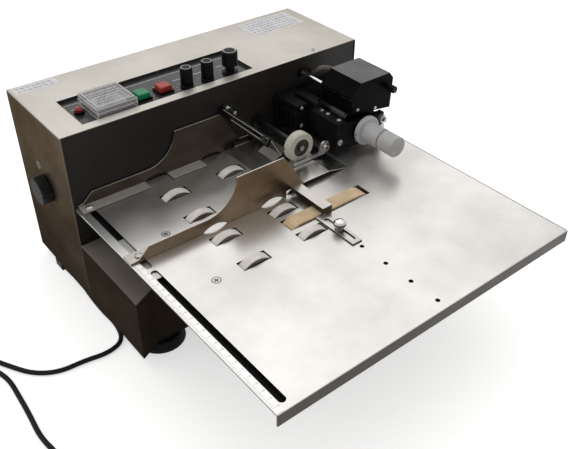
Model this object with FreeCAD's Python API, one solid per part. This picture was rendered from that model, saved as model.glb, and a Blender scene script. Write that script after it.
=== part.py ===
import FreeCAD, Part
import os
from math import atan2, cos, degrees, pi, radians, sin, sqrt, tan

V = FreeCAD.Vector

# Date coding machine: a cabinet with a sheet table in front of it. Feed wheels under the table push
# sheets to the right, under a gate blade and a press roller, into a print head with a heated ink roller.
# Lengths are in millimetres. The model is drawn from the front left edge of the cabinet at table level:
# X to the right, Y to the rear, Z up. It is then moved so that its origin is at the bottom centre.

# Cabinet
CAB_W = 420.0
CAB_D = 140.0
CAB_TOP = 91.0
CAB_DROP = 133.0
SHEET = 1.5
CAB_BEND = 2.0
REVEAL = 1.0
FRONT_T = 3.0
FOOT_H = 11.0
FOOT_R = 17.0
FOOT_INSET = 30.0
VENTS, VENT_X, VENT_Z0, VENT_Z1, VENT_W, VENT_PITCH = 7, CAB_W - 120.0, -60.0, -10.0, 5.0, 12.0
LAP = 12.0
FIT = 0.3
RUN = 0.05

# Control panel and what stands on it
PANEL_X0, PANEL_X1 = 33.0, 260.0
PANEL_Y0, PANEL_Y1 = 11.5, 77.5
PANEL_DEPTH = 4.0
PANEL_LAP = 4.0
PANEL_T = 2.0
CTRL_X, CTRL_Y = 77.5, 39.0
CTRL_SIZE = 41.0
CTRL_BODY_DEPTH = 60.0
BEZEL_SIZE, BEZEL_H = 44.0, 4.0
DIAL_R, DIAL_H = 10.0, 3.0
LID_SIZE = 49.0
LID_H = 15.0
LID_T = 1.6
LID_BEVEL = 2.0
LID_AXIS_Z = 5.2
LID_HEEL = 2.4
PIN_R = 0.8
BARREL_R, BARREL_L = 1.8, 20.0
POST_T = 2.5
LAMP_X, LAMP_Y, LAMP_R, LAMP_H = 44.5, 44.0, 4.6, 5.7
LAMP_RING_R, LAMP_RING_H = 6.0, 2.5
BUTTON_Y = 32.5
GREEN_X, RED_X = 116.5, 145.5
BUTTON_SIZE, BUTTON_H = 15.2, 6.0
BUTTON_TRAVEL = 2.5
FRAME_SIZE, FRAME_H = 18.6, 3.0
SWITCH_DEPTH = 22.0
KNOB_Y = 25.0
SPEED_X, HEAT_X, COUNT_X = 173.5, 202.5, 235.5
KNOB_R, KNOB_H = 7.4, 25.0
SKIRT_R, SKIRT_H = 8.0, 2.5
BIG_KNOB_R, BIG_KNOB_H = 9.7, 29.0
BIG_BASE_R, BIG_NECK_R, BIG_NECK_H = 10.0, 5.6, 9.0
GRIP_GROOVES, GRIP_DEPTH = 18, 0.5
SPINDLE_R, SPINDLE_L = 3.0, 12.0
POT_R, POT_H = 8.0, 14.0

# Side knob on the left wall
SIDE_Y, SIDE_Z = 68.0, -7.0
SIDE_R = 17.0
SIDE_REACH = 14.0
SIDE_FLUTES, FLUTE_R = 8, 3.2

# Base box under the table
BASE_TOP = 51.0
BASE_D = 128.0
BASE_RETURN_X, BASE_RETURN_Y = 26.0, 12.5

# Table
TABLE_X0, TABLE_X1 = 1.7, 401.2
TABLE_L = 365.0
TABLE_T = 1.5
TABLE_BEND = 1.2
LIP_H = 14.0
SLOT_X, SLOT_W = 15.3, 8.0
REAR_SLOT = (-140.8, -15.5)
FRONT_SLOT = (-357.0, -145.6)
RULER_W, RULER_T = 8.5, 0.6
CSK_X, CSK_YS, CSK_R = 57.5, (-101.7, -196.7), 4.5
SCREW_R = 2.0
CLAMP_X, CLAMP_Y = 207.5, -211.5
CLAMP_HOLES, CLAMP_PITCH, CLAMP_HOLE_R = 5, 35.2, 2.1
SLOT_GAP = 0.8

# Feed wheels and transport belt
AXLE_Z = -19.7
COL_LEFT, COL_RIGHT = 105.0, 182.4
WHEEL_ROWS = 4
WHEEL_Y0, WHEEL_PITCH = -45.5, 50.0
WHEEL_R, WHEEL_W = 24.7, 11.0
WHEEL_HUB_R, WHEEL_RIM, WHEEL_DISH = 11.0, 5.0, 2.5
WHEEL_EDGE = 0.8
WHEEL_SIDE_GAP = 2.2
SHAFT_R = 5.0
SHAFT_END = 4.0
BEARING_T = 3.0
BEARING_FLANGE, BEARING_FLANGE_T = 2.0, 5.0
DELIVERY_X, DELIVERY_R = 266.0, 26.4
BELT_Y, BELT_W, BELT_T = -170.3, 17.5, 2.5
BELT_PULLEY_R = 19.7
BELT_RIBS, BELT_RIB_R = 17, 0.5
BELT_SLOT_X0, BELT_SLOT_X1 = 166.0, 283.0
BELT_GAP = 1.6
PULLEY_R, PULLEY_W, PULLEY_Y = 10.0, 8.0, 12.0
DRIVE_BELT_T = 1.5
SHAFT_BACK = 26.0

# What carries the table and the shafts
SUPPORT_T = 2.0
CHANNEL_W, CHANNEL_X0, CHANNEL_X1 = 22.0, 25.0, 371.0
CHANNEL_Y0, CHANNEL_Y1 = -108.0, -8.0
ANGLE_X, ANGLE_W = 48.0, 18.0
RAIL_Y, RAIL_T, RAIL_W, RAIL_X1 = -204.5, 3.0, 12.0, 300.0
RAIL_DROP = 20.0
BRACKET_Y, BRACKET_W = -94.0, 44.0
SLOT_TRAY_Y0, SLOT_TRAY_Y1, SLOT_TRAY_T, SLOT_TRAY_DROP = -361.0, -12.0, 1.0, 6.1

# Raised platen
PLATEN_X = (204.0, 214.0, 270.0, 300.0)
PLATEN_Z = 6.6
PLATEN_Y0, PLATEN_Y1 = -124.4, -11.0
PLATEN_T = 1.2
PLATEN_LAP = 6.0

# Side guides
GUIDE_X0, GUIDE_X1 = 5.5, 229.0
GUIDE_T = 1.5
GUIDE_TOE, GUIDE_TOE_L, GUIDE_RAMP = 3.0, 6.5, 18.5
GUIDE_LOW, GUIDE_HIGH = 15.3, 53.0
GUIDE_CURVE_X, GUIDE_CURVE_R = 94.0, 41.2
GUIDE_TOP_X = 199.0
GUIDE_CLEAR = 7.2
ARCH_GAP = 1.2
ARCH_FACETS = ((20.0, 0.0), (11.0, 6.4), (0.0, 8.4))
FLANGE_W = 16.5
FRONT_GUIDE_Y = -125.0
TAB_X0, TAB_X1, TAB_W, TAB_H = 218.0, 241.0, 8.5, 10.2
PAD_TOP = 2.8
STUD_R, STUD_HEAD_R, STUD_HEAD_H = 2.5, 4.5, 2.2
SLIDER_L, SLIDER_W, SLIDER_T = 78.0, 16.0, 3.0
ARM_X0, ARM_X1 = 209.5, 223.0
ARM_Z, ARM_LIP = 10.2, 6.0
ARM_FOOT_Y = -180.0
ARM_PLATE_X0, ARM_PLATE_X1 = 200.8, 214.2
ARM_END_Y = -240.0
ARM_SLOT_W = 6.4
ARM_SLOT = (-235.0, -188.0)
THUMB_R, THUMB_H = 7.0, 11.5
THUMB_WASHER_R, THUMB_WASHER_T = 5.2, 1.6
THUMB_NECK_R = 4.0
THUMB_GRIPS, THUMB_GRIP_R = 24, 0.45
THUMB_REACH = 8.0

# Gate between the guides
BAR_LOW = (198.0, 55.0)
BAR_TILT = 58.0
BAR_W, BAR_T = 9.4, 1.6
BAR_Y0 = -98.0
BAR_SLOT_W = 4.4
BAR_SLOT = (-93.0, -28.0)
BLADE_LOW = (188.0, 50.0)
BLADE_Y0, BLADE_Y1, BLADE_LEG_Y1 = -122.0, -93.0, -84.0
BLADE_GAP = 0.1
GATE_SCREW_Y, GATE_SCREW_R = -90.0, 2.0
GATE_NUT, GATE_NUT_L = 8.0, 6.0
GATE_HEAD_R, GATE_HEAD_H = 3.4, 1.4
GATE_STUD_X, GATE_STUD_Z, GATE_STUD_R, GATE_STUD_L = 208.0, 60.0, 2.6, 22.0
GATE_COLLAR_R, GATE_COLLAR_Y, GATE_COLLAR_T = 4.5, -3.0, 3.0
GATE_EAR_Y, GATE_EAR_T = -8.0, 1.6

# Press roller
PRESS_X, PRESS_R, PRESS_W = 257.5, 18.6, 12.0
PRESS_HUB_R = 11.3
PRESS_FACE_Y = -87.0
PRESS_EDGE = 1.0
NIP = 0.3
STRIP_X0, STRIP_Z0, STRIP_H, STRIP_T = 241.0, 7.4, 4.6, 2.0
EYE_X, EYE_Z, EYE_R = 290.0, 17.0, 8.0
EYE_Y = -90.5
EYE_ROD_R, EYE_HEAD_R, EYE_HEAD_H = 2.4, 4.0, 4.0

# Print head
PRINT_X, PRINT_Z = 344.0, 28.3
DRUM_R, DRUM_Y0, DRUM_Y1 = 22.6, -84.0, -54.0
DRUM_CORE, DRUM_LIP = 3.6, 3.0
TYPE_BARS, TYPE_STEP, TYPE_W = 6, 12.0, 3.4
IMPRESSION_R = 25.0
COLLAR_R, COLLAR_W = 9.0, 7.0
GEAR_TEETH, GEAR_MODULE = 24, 2.0
GEAR_Y, GEAR_W = 26.0, 8.0
INK_R = 14.5
INK_ANGLE = 80.0
INK_AXLE_R = 3.0
CHEEK_W, CHEEK_T, CHEEK_DROP = 18.0, 3.6, 6.0
ROD_X, ROD_Z, ROD_R = 328.5, 69.5, 3.0
LUG_R, LUG_W = 5.0, 6.0
ROD_BOSS_R, ROD_BOSS_H = 6.5, 5.0
COVER_Y0, COVER_Y1 = -97.0, -42.0
COVER_T = 2.0
COVER_OUTLINE = ((325.0, 72.0), (340.0, 88.3), (388.0, 88.3), (394.8, 80.0), (393.2, 40.0), (329.0, 49.6))
COVER_KNOB_X, COVER_KNOB_Z, COVER_KNOB_R, COVER_KNOB_L = 385.0, 71.0, 4.6, 14.0
COVER_STUD_R, COVER_NECK_R, COVER_NECK_L = 2.0, 3.0, 3.0
LEAD_R = 1.8
LEAD_POINTS = ((346.0, 0.0, 66.0), (346.0, -9.0, 66.0), (340.5, -18.0, 79.0), (345.0, -29.0, 83.5),
               (352.0, -36.0, 79.5), (352.5, -41.7, 79.0))
HEAD_X0, HEAD_X1 = 302.0, 381.0
HEAD_TOP, HEAD_BOTTOM = 38.0, 7.0
HEAD_FRONT_Y, HEAD_WALL = -100.0, 8.0
HEAD_BACK, HEAD_FLANGE, HEAD_RISE = 10.0, 20.0, 14.0
HEAD_CUT_LOW, HEAD_CUT_TOP = 6.0, 10.0
SIDE_TOP, SIDE_FLANGE, SIDE_FLANGE_T = 46.0, 14.0, 6.0
SIDE_SCREW_X, SIDE_SCREW_YS = 311.5, (-60.5, -72.0, -92.0)
BOLT_X, BOLT_Z, BOLT_R, BOLT_H = 307.5, 20.5, 4.0, 2.6
WINDOW = (-80.0, -58.0, 13.0, 20.0)
BLOCK_X0, BLOCK_X1, BLOCK_Y0, BLOCK_Z0, BLOCK_Z1 = 283.0, 321.0, -46.0, 21.0, 54.0
FINS, FIN_GAP, FIN_PITCH, FIN_DEPTH = 4, 3.0, 9.0, 3.0
LEDGE_H, LEDGE_DROP = 4.0, 12.0
STAY_X, STAY_Z, STAY_R, STAY_CAP = 304.0, 56.5, 3.0, 4.2
STAY_Y0, STAY_Y1, STAY_CAP_L = -62.0, -20.0, 6.0
KNOB_FLANGE_R, KNOB_FLANGE_T = 18.5, 6.5
KNOB_BODY_R, KNOB_TIP_L, KNOB_GROOVE, KNOB_GROOVE_W = 13.0, 22.0, 2.2, 2.5
KNOB_FACE_Y, KNOB_END_Y = -105.0, -161.0
KNOB_BORE_R, KNOB_CAP_T, SET_SCREW_R = 4.0, 8.0, 1.8

# Drive inside the cabinet
MOTOR_X, MOTOR_Z = 186.0, -84.0
MOTOR_R, MOTOR_L, MOTOR_SHAFT_R = 30.0, 78.0, 4.0
GEARBOX, GEARBOX_L = 64.0, 30.0
MOTOR_GAP = 8.0
BOARD_X, BOARD_Y, BOARD_Z, BOARD_T = (20.0, 60.0), 100.0, (-110.0, 40.0), 2.0
STANDOFF = 4.0
CORE_X, CORE_Y, CORE_SIZE, CORE_H = 80.0, 80.0, 50.0, 42.0

# Power cord on the floor; the hand-picked points follow the photographed route
CORD_D = 5.6
CORD_LIFT = 0.1
CORD_POINTS = (
    (7.0, 62.0), (7.0, 36.0), (4.5, 8.0), (4.0, -22.0), (6.0, -52.0), (-1.0, -80.0), (-24.0, -87.0),
    (-50.0, -81.0), (-80.0, -79.0), (-104.0, -63.0), (-120.0, -36.0), (-136.0, -6.0), (-143.0, 26.0),
    (-163.0, 46.0), (-191.0, 42.0), (-205.0, 16.0), (-196.0, -12.0), (-168.0, -21.0), (-138.0, -24.0),
    (-127.5, -52.0), (-128.5, -84.0), (-130.0, -116.0), (-133.0, -148.0), (-128.0, -179.0))
ELBOW_W, ELBOW_L, NOSE_L = 14.0, 18.0, 20.0
NOSE_R0, NOSE_R1 = 3.7, 4.6
COIL_TURNS = 3
COIL_R = 42.0
COIL_PITCH = 6.4
COIL_START = (-128.0, -210.0)
PLUG_L, PLUG_W = 36.0, 19.0
PLUG_PIN_R, PLUG_PIN_L, PLUG_PIN_GAP = 2.0, 18.0, 12.0

TABLE_UNDER = -TABLE_T
FLOOR = -CAB_DROP - FOOT_H
ORIGIN = V((CAB_W - SIDE_REACH) / 2, (CAB_D - TABLE_L) / 2, FLOOR)
TABLE_BACK = -REVEAL - FIT
WHEEL_YS = [WHEEL_Y0 - WHEEL_PITCH * i for i in range(WHEEL_ROWS)]
PANEL_Z = CAB_TOP - PANEL_DEPTH
PRESS_Y = PRESS_FACE_Y + PRESS_W / 2
PRESS_Z = AXLE_Z + sqrt((DELIVERY_R + NIP + PRESS_R) ** 2 - (DELIVERY_X - PRESS_X) ** 2)
IMPRESSION_Z = PRINT_Z - GEAR_TEETH * GEAR_MODULE
INK_X = PRINT_X + (DRUM_R + NIP + INK_R) * cos(radians(INK_ANGLE))
INK_Z = PRINT_Z + (DRUM_R + NIP + INK_R) * sin(radians(INK_ANGLE))
COVER_TOP = max(z for x, z in COVER_OUTLINE)
LID_AXIS_Y = CTRL_Y + LID_SIZE / 2 + BARREL_R
CORD_Z = FLOOR + CORD_D / 2 + CORD_LIFT

parts = {}


def box(x0, x1, y0, y1, z0, z1):
    return Part.makeBox(x1 - x0, y1 - y0, z1 - z0, V(x0, y0, z0))


def square(x, y, size, z0, z1):
    """Upright square block about a centre."""
    half = size / 2
    return box(x - half, x + half, y - half, y + half, z0, z1)


def rod(axis, a, b, r, c0, c1):
    """Cylinder along an axis; a and b are its place on the two other axes."""
    start, way = {"x": (V(c0, a, b), V(1, 0, 0)), "y": (V(a, c0, b), V(0, 1, 0)),
                  "z": (V(a, b, c0), V(0, 0, 1))}[axis]
    return Part.makeCylinder(r, c1 - c0, start, way)


def tube(axis, a, b, outer, inner, c0, c1):
    return rod(axis, a, b, outer, c0, c1).cut(rod(axis, a, b, inner, c0 - 1, c1 + 1))


def prism_xz(points, y0, y1):
    wire = Part.makePolygon([V(x, y0, z) for x, z in list(points) + [points[0]]])
    return Part.Face(wire).extrude(V(0, y1 - y0, 0))


def prism_xy(points, z0, z1, inset=0.0):
    wire = Part.makePolygon([V(x, y, z0) for x, y in list(points) + [points[0]]])
    if inset:
        wire = wire.makeOffset2D(-inset, 2)
    return Part.Face(wire).extrude(V(0, 0, z1 - z0))


def turned(axis, a, b, profile):
    """Solid of revolution; the profile is a list of (distance along the axis, radius)."""
    points = [V(0, 0, profile[0][0])] + [V(r, 0, t) for t, r in profile] + [V(0, 0, profile[-1][0])]
    solid = Part.Face(Part.makePolygon(points + [points[0]])).revolve(V(0, 0, 0), V(0, 0, 1), 360)
    if axis == "x":
        solid.rotate(V(0, 0, 0), V(0, 1, 0), 90)
        solid.translate(V(0, a, b))
    elif axis == "y":
        solid.rotate(V(0, 0, 0), V(1, 0, 0), -90)
        solid.translate(V(a, 0, b))
    else:
        solid.translate(V(a, b, 0))
    return solid


def slot_z(x, w, ends, z0, z1):
    """Rounded slot along Y, as a cutting tool."""
    y0, y1 = ends[0] + w / 2, ends[1] - w / 2
    return box(x - w / 2, x + w / 2, y0, y1, z0, z1).fuse(
        [rod("z", x, y0, w / 2, z0, z1), rod("z", x, y1, w / 2, z0, z1)])


def joined(shapes):
    return shapes[0].fuse(shapes[1:]).removeSplitter()


def group(shapes):
    return Part.makeCompound(shapes)


def grip(x, y, r, z0, z1, foot):
    """Upright knob with grip grooves that start a little above its foot."""
    solid = turned("z", x, y, [(z0, r), (z1 - 1.0, r), (z1, r * 0.86)])
    step = 2 * pi / GRIP_GROOVES
    grooves = [rod("z", x + r * cos(step * i), y + r * sin(step * i), GRIP_DEPTH, z0 + foot, z1 + 1)
               for i in range(GRIP_GROOVES)]
    return solid.cut(grooves)


def half_chord(r):
    """Half the length that a wheel on the feed axles takes up at the table's underside."""
    return sqrt(r ** 2 - (TABLE_UNDER - AXLE_Z) ** 2) + SLOT_GAP


def shaft_places():
    return ((COL_LEFT, AXLE_Z), (COL_RIGHT, AXLE_Z), (DELIVERY_X, AXLE_Z), (PRINT_X, PRINT_Z),
            (PRINT_X, IMPRESSION_Z), (PRESS_X, PRESS_Z))


def cabinet():
    depth = CAB_D + REVEAL
    shell = box(0, CAB_W, -REVEAL, CAB_D, -CAB_DROP, CAB_TOP)
    bends = [e for e in shell.Edges if abs(e.BoundBox.YLength - depth) < 0.01 and e.BoundBox.ZMin > 0]
    shell = shell.makeFillet(CAB_BEND, bends)
    shell = shell.cut(box(SHEET, CAB_W - SHEET, -REVEAL - 1, CAB_D + 1, -CAB_DROP - 1, CAB_TOP - SHEET))
    rim = box(PANEL_X0 - SHEET, PANEL_X1 + SHEET, PANEL_Y0 - SHEET, PANEL_Y1 + SHEET, PANEL_Z,
              CAB_TOP - SHEET)
    well = box(PANEL_X0, PANEL_X1, PANEL_Y0, PANEL_Y1, PANEL_Z - 1, CAB_TOP + 1)
    spindle = rod("x", SIDE_Y, SIDE_Z, SPINDLE_R + RUN, -1, SHEET + 1)
    parts["cabinet_cover"] = shell.fuse(rim).cut([well, spindle]).removeSplitter()

    low, top = -CAB_DROP + SHEET, CAB_TOP - SHEET
    parts["bottom_plate"] = box(SHEET, CAB_W - SHEET, 0, CAB_D, -CAB_DROP, low)
    front = box(SHEET, CAB_W - SHEET, 0, FRONT_T, low, top)
    holes = [rod("y", x, z, SHAFT_R + BEARING_T, -1, FRONT_T + 1) for x, z in shaft_places()]
    holes.append(rod("y", ROD_X, ROD_Z, ROD_R, -1, FRONT_T + 1))
    parts["front_plate"] = front.cut(holes)

    rear = box(SHEET, CAB_W - SHEET, CAB_D - SHEET, CAB_D, low, top)
    lap = box(SHEET, CAB_W - SHEET, CAB_D - LAP, CAB_D, top - SHEET, top)
    vents = [box(x, x + VENT_W, CAB_D - SHEET - 1, CAB_D + 1, VENT_Z0, VENT_Z1)
             for x in [VENT_X + VENT_PITCH * i for i in range(VENTS)]]
    parts["rear_cover"] = rear.fuse(lap).cut(vents).removeSplitter()


def control_panel():
    """Panel plate under the well's rim, with the two posts and the pin of the cover's hinge."""
    z0, z1 = PANEL_Z - PANEL_T, PANEL_Z
    lap = PANEL_LAP
    plate = box(PANEL_X0 - lap, PANEL_X1 + lap, PANEL_Y0 - lap, PANEL_Y1 + lap, z0, z1)
    cuts = [square(CTRL_X, CTRL_Y, CTRL_SIZE, z0 - 1, z1 + 1)]
    cuts += [rod("z", x, KNOB_Y, SPINDLE_R + RUN, z0 - 1, z1 + 1) for x in (SPEED_X, HEAT_X, COUNT_X)]
    cuts += [square(x, BUTTON_Y, BUTTON_SIZE + 2 * FIT, z0 - 1, z1 + 1) for x in (GREEN_X, RED_X)]
    y, z, r = LID_AXIS_Y, PANEL_Z + LID_AXIS_Z, BARREL_R - FIT
    reach = BARREL_L / 2 + FIT
    hinge = [rod("x", y, z, PIN_R, CTRL_X - reach - POST_T, CTRL_X + reach + POST_T)]
    for x in (CTRL_X - reach - POST_T, CTRL_X + reach):
        hinge += [box(x, x + POST_T, y - r, y + r, PANEL_Z, z), rod("x", y, z, r, x, x + POST_T)]
    parts["control_panel"] = joined([plate.cut(cuts)] + hinge)


def base():
    """Box under the table, open to the cabinet, its front set back between slanted corners, and four feet."""
    back = -BASE_D + BASE_RETURN_Y
    outline = [(0, -REVEAL), (0, -BASE_D), (BASE_RETURN_X, back), (CAB_W - BASE_RETURN_X, back),
               (CAB_W, -BASE_D), (CAB_W, -REVEAL)]
    shell = prism_xy(outline, -CAB_DROP, -BASE_TOP)
    low, top = -CAB_DROP + SHEET, -BASE_TOP - SHEET
    mouth = box(SHEET, CAB_W - SHEET, -REVEAL - SHEET - 1, 0, low, top)
    parts["base_box"] = shell.cut([prism_xy(outline, low, top, SHEET), mouth])
    feet = []
    for x in (FOOT_INSET, CAB_W - FOOT_INSET):
        for y in (-BASE_D + FOOT_INSET, CAB_D - FOOT_INSET):
            feet.append(turned("z", x, y, [(FLOOR, FOOT_R - 1.0), (FLOOR + 1.0, FOOT_R),
                                           (-CAB_DROP, FOOT_R - 2.0)]))
    parts["rubber_feet"] = group(feet)


def table():
    plate = box(TABLE_X0, TABLE_X1, -TABLE_L, TABLE_BACK, TABLE_UNDER, 0)
    lip = box(TABLE_X0, TABLE_X1, -TABLE_L, -TABLE_L + TABLE_T, -LIP_H, 0)
    body = plate.fuse(lip).removeSplitter()
    bend = [e for e in body.Edges if abs(e.BoundBox.YMax + TABLE_L) < 0.01 and abs(e.BoundBox.ZMin) < 0.01
            and e.BoundBox.XLength > TABLE_X1 / 2]
    body = body.makeFillet(TABLE_BEND, bend)
    z0, z1 = TABLE_UNDER - 1, 1
    cuts = [slot_z(SLOT_X, SLOT_W, ends, z0, z1) for ends in (REAR_SLOT, FRONT_SLOT)]
    side = WHEEL_W / 2 + WHEEL_SIDE_GAP
    for x in (COL_LEFT, COL_RIGHT):
        half = half_chord(WHEEL_R)
        cuts += [box(x - half, x + half, y - side, y + side, z0, z1) for y in WHEEL_YS]
    reach = BELT_W / 2 + BELT_GAP
    cuts.append(box(BELT_SLOT_X0, BELT_SLOT_X1, BELT_Y - reach, BELT_Y + reach, z0, z1))
    cuts += [rod("z", CLAMP_X, CLAMP_Y - CLAMP_PITCH * i, CLAMP_HOLE_R, z0, z1) for i in range(CLAMP_HOLES)]
    cuts += [turned("z", CSK_X, y, [(z0, SCREW_R + FIT), (TABLE_UNDER + FIT, SCREW_R + FIT), (0.0, CSK_R),
                                    (z1, CSK_R)]) for y in CSK_YS]
    half, side = half_chord(DELIVERY_R), PRESS_W / 2 + PRESS_EDGE
    cuts.append(box(DELIVERY_X - half, DELIVERY_X + half, PRESS_Y - side, PRESS_Y + side, z0, z1))
    half = sqrt(IMPRESSION_R ** 2 - (TABLE_UNDER - IMPRESSION_Z) ** 2) + SLOT_GAP
    cuts.append(box(PRINT_X - half, PRINT_X + half, DRUM_Y0 - PRESS_EDGE, DRUM_Y1 + PRESS_EDGE, z0, z1))
    parts["table_plate"] = body.cut(cuts)
    ruler_back = TABLE_BACK - FLANGE_W - FIT
    parts["ruler_strip"] = box(TABLE_X0, TABLE_X0 + RULER_W, -TABLE_L + TABLE_BEND, ruler_back, 0, RULER_T)
    platen()


def platen():
    """Raised plate with a ramp at each end, open underneath, and a window for the lower roller."""
    x0, x1, x2, x3 = PLATEN_X
    h, t = PLATEN_Z, PLATEN_T
    rise_left, rise_right = h / (x1 - x0), h / (x3 - x2)
    outer = [(x0, 0), (x1, h), (x2, h), (x3, 0)]
    inner = [(x0 + t / rise_left, 0), (x1, h - t), (x2, h - t), (x3 - t / rise_right, 0)]
    tray = prism_xz(outer, PLATEN_Y0, PLATEN_Y1).cut(prism_xz(inner, PLATEN_Y0 + t, PLATEN_Y1 - t))
    half = sqrt(DELIVERY_R ** 2 - (h - t - AXLE_Z) ** 2) + PLATEN_LAP
    side = PRESS_W / 2 + PRESS_EDGE
    window = box(DELIVERY_X - half, DELIVERY_X + half, PRESS_Y - side, PRESS_Y + side, 0, h + 1)
    parts["platen"] = tray.cut(window)


def c_channel(x, opening):
    """Channel that stands between the base box and the table; opening is the side left open."""
    t = SUPPORT_T
    outer = box(x, x + CHANNEL_W, CHANNEL_Y0, CHANNEL_Y1, -BASE_TOP, TABLE_UNDER)
    x0, x1 = (x - 1, x + CHANNEL_W - t) if opening < 0 else (x + t, x + CHANNEL_W + 1)
    return outer.cut(box(x0, x1, CHANNEL_Y0 - 1, CHANNEL_Y1 + 1, -BASE_TOP + t, TABLE_UNDER - t))


def supports():
    """Two channels, a long angle, the front rail, the impression bracket and the tray under the left slots."""
    low = AXLE_Z - RAIL_DROP
    t = SUPPORT_T
    angle = joined([box(ANGLE_X, ANGLE_X + ANGLE_W, RAIL_Y, TABLE_BACK, TABLE_UNDER - t, TABLE_UNDER),
                    box(ANGLE_X, ANGLE_X + t, RAIL_Y, TABLE_BACK, low, TABLE_UNDER)])
    rail = joined([box(ANGLE_X, RAIL_X1, RAIL_Y - RAIL_T, RAIL_Y, low, TABLE_UNDER),
                   box(ANGLE_X, RAIL_X1, RAIL_Y - RAIL_W, RAIL_Y, TABLE_UNDER - RAIL_T, TABLE_UNDER)])
    bores = [rod("y", x, AXLE_Z, SHAFT_R + BEARING_T, RAIL_Y - RAIL_T - 1, RAIL_Y + 1)
             for x in (COL_LEFT, COL_RIGHT, DELIVERY_X)]
    bores.append(rod("z", CLAMP_X, CLAMP_Y, CLAMP_HOLE_R, TABLE_UNDER - RAIL_T - 1, TABLE_UNDER + 1))
    holes = [rod("z", CSK_X, y, SCREW_R + RUN, TABLE_UNDER - t - 1, TABLE_UNDER + 1) for y in CSK_YS]
    frame = joined([angle, rail]).cut(bores + holes)
    half = BRACKET_W / 2
    bracket = box(PRINT_X - half, PRINT_X + half, BRACKET_Y, BRACKET_Y + RAIL_T, IMPRESSION_Z - RAIL_DROP,
                  TABLE_UNDER)
    bracket = bracket.cut(rod("y", PRINT_X, IMPRESSION_Z, SHAFT_R + BEARING_T, BRACKET_Y - 1,
                              BRACKET_Y + RAIL_T + 1))
    inside, wall = SLIDER_W / 2 + FIT, SLOT_TRAY_T
    floor = TABLE_UNDER - SLOT_TRAY_DROP
    tray = box(SLOT_X - inside - wall, SLOT_X + inside + wall, SLOT_TRAY_Y0, SLOT_TRAY_Y1, floor, TABLE_UNDER)
    tray = tray.cut(box(SLOT_X - inside, SLOT_X + inside, SLOT_TRAY_Y0 - 1, SLOT_TRAY_Y1 + 1, floor + wall,
                        TABLE_UNDER + 1))
    parts["table_supports"] = group([frame, bracket, tray, c_channel(CHANNEL_X0, -1), c_channel(CHANNEL_X1, 1)])


def bearings():
    """Flanged bush at each hole of the front plate, plain bush at each front end, boss of the hinge rod."""
    bushes = []
    outer = SHAFT_R + BEARING_T
    for x, z in shaft_places():
        bush = turned("y", x, z, [(-BEARING_FLANGE_T, outer + BEARING_FLANGE), (0, outer + BEARING_FLANGE),
                                  (0, outer), (FRONT_T, outer)])
        bushes.append(bush.cut(rod("y", x, z, SHAFT_R + RUN, -BEARING_FLANGE_T - 1, FRONT_T + 1)))
    for x in (COL_LEFT, COL_RIGHT, DELIVERY_X):
        bushes.append(tube("y", x, AXLE_Z, outer, SHAFT_R + RUN, RAIL_Y - RAIL_T, RAIL_Y))
    bushes.append(tube("y", PRINT_X, IMPRESSION_Z, outer, SHAFT_R + RUN, BRACKET_Y, BRACKET_Y + RAIL_T))
    bushes.append(tube("y", ROD_X, ROD_Z, ROD_BOSS_R, ROD_R, -ROD_BOSS_H, 0))
    parts["shaft_bearings"] = group(bushes)


def drive_pulley(x, z):
    return rod("y", x, z, PULLEY_R, PULLEY_Y, PULLEY_Y + PULLEY_W)


def belt_pulley(x):
    return rod("y", x, AXLE_Z, BELT_PULLEY_R, BELT_Y - BELT_W / 2, BELT_Y + BELT_W / 2)


def feed_wheel(x, y):
    """White rubber wheel with a dished face on each side of its hub."""
    y0, y1 = y - WHEEL_W / 2, y + WHEEL_W / 2
    r, e = WHEEL_R, WHEEL_EDGE
    wheel = turned("y", x, AXLE_Z, [(y0, r - e), (y0 + e, r), (y1 - e, r), (y1, r - e)])
    dishes = [tube("y", x, AXLE_Z, r - WHEEL_RIM, WHEEL_HUB_R, a, b)
              for a, b in ((y0 - 1, y0 + WHEEL_DISH), (y1 - WHEEL_DISH, y1 + 1))]
    return wheel.cut(dishes + [rod("y", x, AXLE_Z, SHAFT_R, y0 - 1, y1 + 1)])


def feed():
    front = RAIL_Y - RAIL_T - SHAFT_END
    for name, x in (("left", COL_LEFT), ("right", COL_RIGHT)):
        pieces = [rod("y", x, AXLE_Z, SHAFT_R, front, SHAFT_BACK), drive_pulley(x, AXLE_Z)]
        if name == "right":
            pieces.append(belt_pulley(x))
        parts["feed_shaft_" + name] = joined(pieces)
        parts["feed_wheels_" + name] = group([feed_wheel(x, y) for y in WHEEL_YS])
    parts["delivery_shaft"] = joined([rod("y", DELIVERY_X, AXLE_Z, SHAFT_R, front, SHAFT_BACK),
                                      drive_pulley(DELIVERY_X, AXLE_Z), belt_pulley(DELIVERY_X)])
    parts["delivery_roller"] = tube("y", DELIVERY_X, AXLE_Z, DELIVERY_R, SHAFT_R, PRESS_FACE_Y,
                                    PRESS_FACE_Y + PRESS_W)
    parts["transport_belt"] = transport_belt()


def stadium(x0, x1, z, r, y0, y1):
    return rod("y", x0, z, r, y0, y1).fuse([rod("y", x1, z, r, y0, y1), box(x0, x1, y0, y1, z - r, z + r)])


def transport_belt():
    """Endless belt round its two pulleys, with fine grooves where it comes up at the left."""
    y0, y1 = BELT_Y - BELT_W / 2, BELT_Y + BELT_W / 2
    r_in, r_out = BELT_PULLEY_R + RUN, BELT_PULLEY_R + BELT_T
    loop = stadium(COL_RIGHT, DELIVERY_X, AXLE_Z, r_out, y0, y1)
    loop = loop.cut(stadium(COL_RIGHT, DELIVERY_X, AXLE_Z, r_in, y0 - 1, y1 + 1))
    angles = [pi / 2 + pi * (i + 0.5) / BELT_RIBS for i in range(BELT_RIBS)]
    return loop.cut([rod("y", COL_RIGHT + r_out * cos(a), AXLE_Z + r_out * sin(a), BELT_RIB_R, y0 - 1, y1 + 1)
                     for a in angles])


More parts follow.
